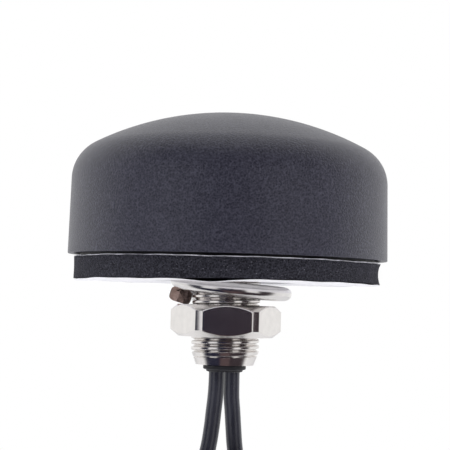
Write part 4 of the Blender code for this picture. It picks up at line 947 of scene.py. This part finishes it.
def threadTree(low):
    f = studFacts
    tree, kit, given = ruleTree("studThread", {
        "Radius": f["radius"], "Pitch": f["pitch"], "Depth": f["depth"], "Low": low, "High": f["top"],
        "End Radius": f["endRadius"], "Lead In": f["leadIn"],
    })
    grid = kit.add("GeometryNodeMeshGrid", inputs=[1.0, 1.0, f["around"] + 1, f["rows"]])
    x, y, _ = kit.split(kit.add("GeometryNodeInputPosition"))
    turn, climb = x + 0.5, y + 0.5
    height = given["Low"] + (given["High"] - given["Low"]) * climb
    phase = ((height - given["Low"]) / given["Pitch"] - turn + f["phase"]).math("FRACT")
    ridge = ((phase - 0.5).math("ABSOLUTE")) * 2.0
    tooth = ((ridge - 0.10) / 0.62).math("MAXIMUM", 0.0).math("MINIMUM", 1.0)
    tooth = (tooth * (math.pi / 2)).math("SINE")
    slope = (given["Radius"] - given["End Radius"]) / given["Lead In"]
    taper = given["End Radius"] + slope * (height - given["Low"])
    runOut = given["Radius"] - given["Depth"] + (given["High"] - height) * 1.2
    radius = (given["Radius"] - given["Depth"] + given["Depth"] * tooth).math("MINIMUM", taper).math("MINIMUM", runOut)
    angle = turn * math.tau
    spot = kit.join(angle.math("COSINE") * radius, angle.math("SINE") * radius, height)
    moved = kit.add("GeometryNodeSetPosition", inputs={"Geometry": grid, "Position": spot})
    joined = kit.add("GeometryNodeMergeByDistance", inputs={"Geometry": moved, "Distance": 1e-6})
    return finishTree(tree, kit, joined, given)


def makeStud():
    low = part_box("threaded_stud")[0].z
    f = studFacts
    mesh = grown("stud", threadTree(low), {"Finish": finishes["nickel"]})
    stud = pieceFrom("stud", boredThrough(mesh, f["bore"]), "housing", "nickel", ["threaded_stud"], 50.0)
    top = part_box("threaded_stud")[1].z
    seat = top - 1.6 * mm
    flats = 16.0 * mm
    rows = [(f["bore"], f["top"] + 0.05 * mm, False), (5.4 * mm, f["top"] + 0.05 * mm, False), (5.4 * mm, seat, False)]
    rows += hexedRows(f["bore"], seat, top, flats / math.sqrt(3), flats / 2, 0.5, 0.2 * mm, 4)[3:]
    rule = lambda a, wide, z: softMin(hexRadius(a, flats), np.full_like(a, wide), 0.1 * mm)
    mesh = loftedMesh("studFlange", ruledRings(rows, 144, rule))
    pieceFrom("studFlange", mesh, "housing", "nickel", ["threaded_stud"], 40.0)


makeStud()
print("stud")


# Nut
nutFacts = {
    "flats": 17.5 * mm, "turned": 9.71 * mm, "chamfer": 8.62 * mm, "slope": 0.93,
    "lowChamfer": 8.35 * mm, "lowSlope": 0.83, "turn": 1.7, "bore": 6.12 * mm,
    "boreChamfer": 0.45 * mm, "edge": 0.09 * mm,
}


def makeNut():
    low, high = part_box("hex_nut")
    f = nutFacts
    rule = lambda a, wide, z: softMin(hexRadius(a, f["flats"], f["turn"] + 30.0), np.full_like(a, wide), f["edge"])
    rows = hexedRows(f["bore"], low.z, high.z, f["turned"], f["chamfer"], f["slope"], f["boreChamfer"], 10,
                    (f["lowChamfer"], f["lowSlope"]))
    mesh = loftedMesh("nut", ruledRings(rows, 720, rule))
    pieceFrom("nut", mesh, "nut", "nickel", ["hex_nut"], 32.0)


# Spring washer
washerFacts = {
    "width": 3.9 * mm, "thickness": 2.55 * mm, "radius": 8.75 * mm, "rise": 2.6 * mm, "split": 186.0, "gap": 6.0,
    "offset": 0.75 * mm, "middle": -1.52 * mm, "leanRight": 2.0, "leanFront": 2.6, "squareness": 2.3, "steps": 240,
    "sides": 48, "twist": 14.0, "twistLength": 0.08, "endSquareness": 4.0,
}


def washerTree():
    # one turn of a rounded bar, climbing as it goes round, its section rolled near the lower end
    f = washerFacts
    tree, kit, given = ruleTree("washerTurn", {
        "Radius": f["radius"], "Width": f["width"], "Thickness": f["thickness"], "Rise": f["rise"], "Gap": f["gap"],
        "Squareness": f["squareness"], "End Squareness": f["endSquareness"], "Twist": f["twist"], "Twist Length": f["twistLength"],
    })
    grid = kit.add("GeometryNodeMeshGrid", inputs=[1.0, 1.0, f["steps"] + 1, f["sides"] + 1])
    x, y, _ = kit.split(kit.add("GeometryNodeInputPosition"))
    share, turn = x + 0.5, (y + 0.5) * math.tau
    atEnd = kit.remap(share, 0.97, 1.0)
    power = 2.0 / (given["Squareness"] + (given["End Squareness"] - given["Squareness"]) * atEnd)
    out, up = [
        (w * (w.math("ABSOLUTE").math("MAXIMUM", 1e-9)).math("POWER", power - 1.0))
        for w in (turn.math("COSINE"), turn.math("SINE"))
    ]
    out, up = out * given["Width"] * 0.5, up * given["Thickness"] * 0.5
    roll = given["Twist"] * kit.remap(share, 1.0 - given["Twist Length"], 1.0) * math.radians(1.0)
    cosine, sine = roll.math("COSINE"), roll.math("SINE")
    radius = given["Radius"] + out * cosine - up * sine
    height = out * sine + up * cosine + given["Rise"] * (0.5 - share)
    angle = share * (360.0 - given["Gap"]) * math.radians(1.0)
    spot = kit.join(angle.math("COSINE") * radius, angle.math("SINE") * radius, height)
    return finishTree(tree, kit, kit.add("GeometryNodeSetPosition", inputs={"Geometry": grid, "Position": spot}), given)


def makeWasher():
    f = washerFacts
    lean = Matrix.Rotation(math.radians(f["leanRight"]), 4, "Y") @ Matrix.Rotation(math.radians(f["leanFront"]), 4, "X")
    place = Matrix.Translation((f["offset"], 0, f["middle"])) @ lean @ Matrix.Rotation(math.radians(f["split"]), 4, "Z")
    mesh = grown("washer", washerTree(), {"Finish": finishes["washer_steel"]})
    mesh.materials.append(shearedSteel())
    bm = bmesh.new()
    bm.from_mesh(mesh)
    bmesh.ops.remove_doubles(bm, verts=bm.verts, dist=1e-7)
    caps = bmesh.ops.holes_fill(bm, edges=[edge for edge in bm.edges if edge.is_boundary])["faces"]
    for face in caps:
        face.material_index = 1
    bmesh.ops.recalc_face_normals(bm, faces=bm.faces)
    bmesh.ops.transform(bm, matrix=place, verts=bm.verts)
    bm.to_mesh(mesh)
    bm.free()
    pieceFrom("washer", mesh, "washer", "washer_steel", ["spring_washer"], 50.0)


makeNut()
makeWasher()
print("nut and washer")


# Plug in the stud's end
plugFacts = {"flange": 3.75 * mm, "lip": 3.1 * mm, "shaft": 3.28 * mm, "opening": 1.47 * mm, "spacing": 1.38 * mm}


def makePlug():
    low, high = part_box("cable_plug")
    f = plugFacts
    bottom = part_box("threaded_stud")[0].z - 0.1 * mm
    step = bottom - 0.8 * mm
    corners = [(f["lip"], low.z), (f["lip"] + 0.15 * mm, step), (f["flange"], step + 0.12 * mm), (f["flange"], bottom),
               (f["shaft"], bottom), (f["shaft"], high.z)]
    outside = roundedProfile(corners, [0.12 * mm, 0.05 * mm, 0.18 * mm, 0.12 * mm, 0.05 * mm, 0.3 * mm])
    steps = 128
    angles = np.linspace(0.0, math.tau, steps, endpoint=False)
    # the opening is two round holes run together
    along = f["spacing"] * np.abs(np.cos(angles))
    opening = along + np.sqrt(np.maximum(f["opening"] ** 2 - (f["spacing"] * np.sin(angles)) ** 2, 0.0))
    rings = [[(r * math.cos(a), r * math.sin(a), z) for a in angles] for r, z in outside]
    for z in (high.z, low.z):
        rings.append([(r * math.cos(a), r * math.sin(a), z) for r, a in zip(opening, angles)])
    pieceFrom("plug", loftedMesh("plug", rings), "housing", "rubber", ["cable_plug"], 40.0)


makePlug()
print("plug")
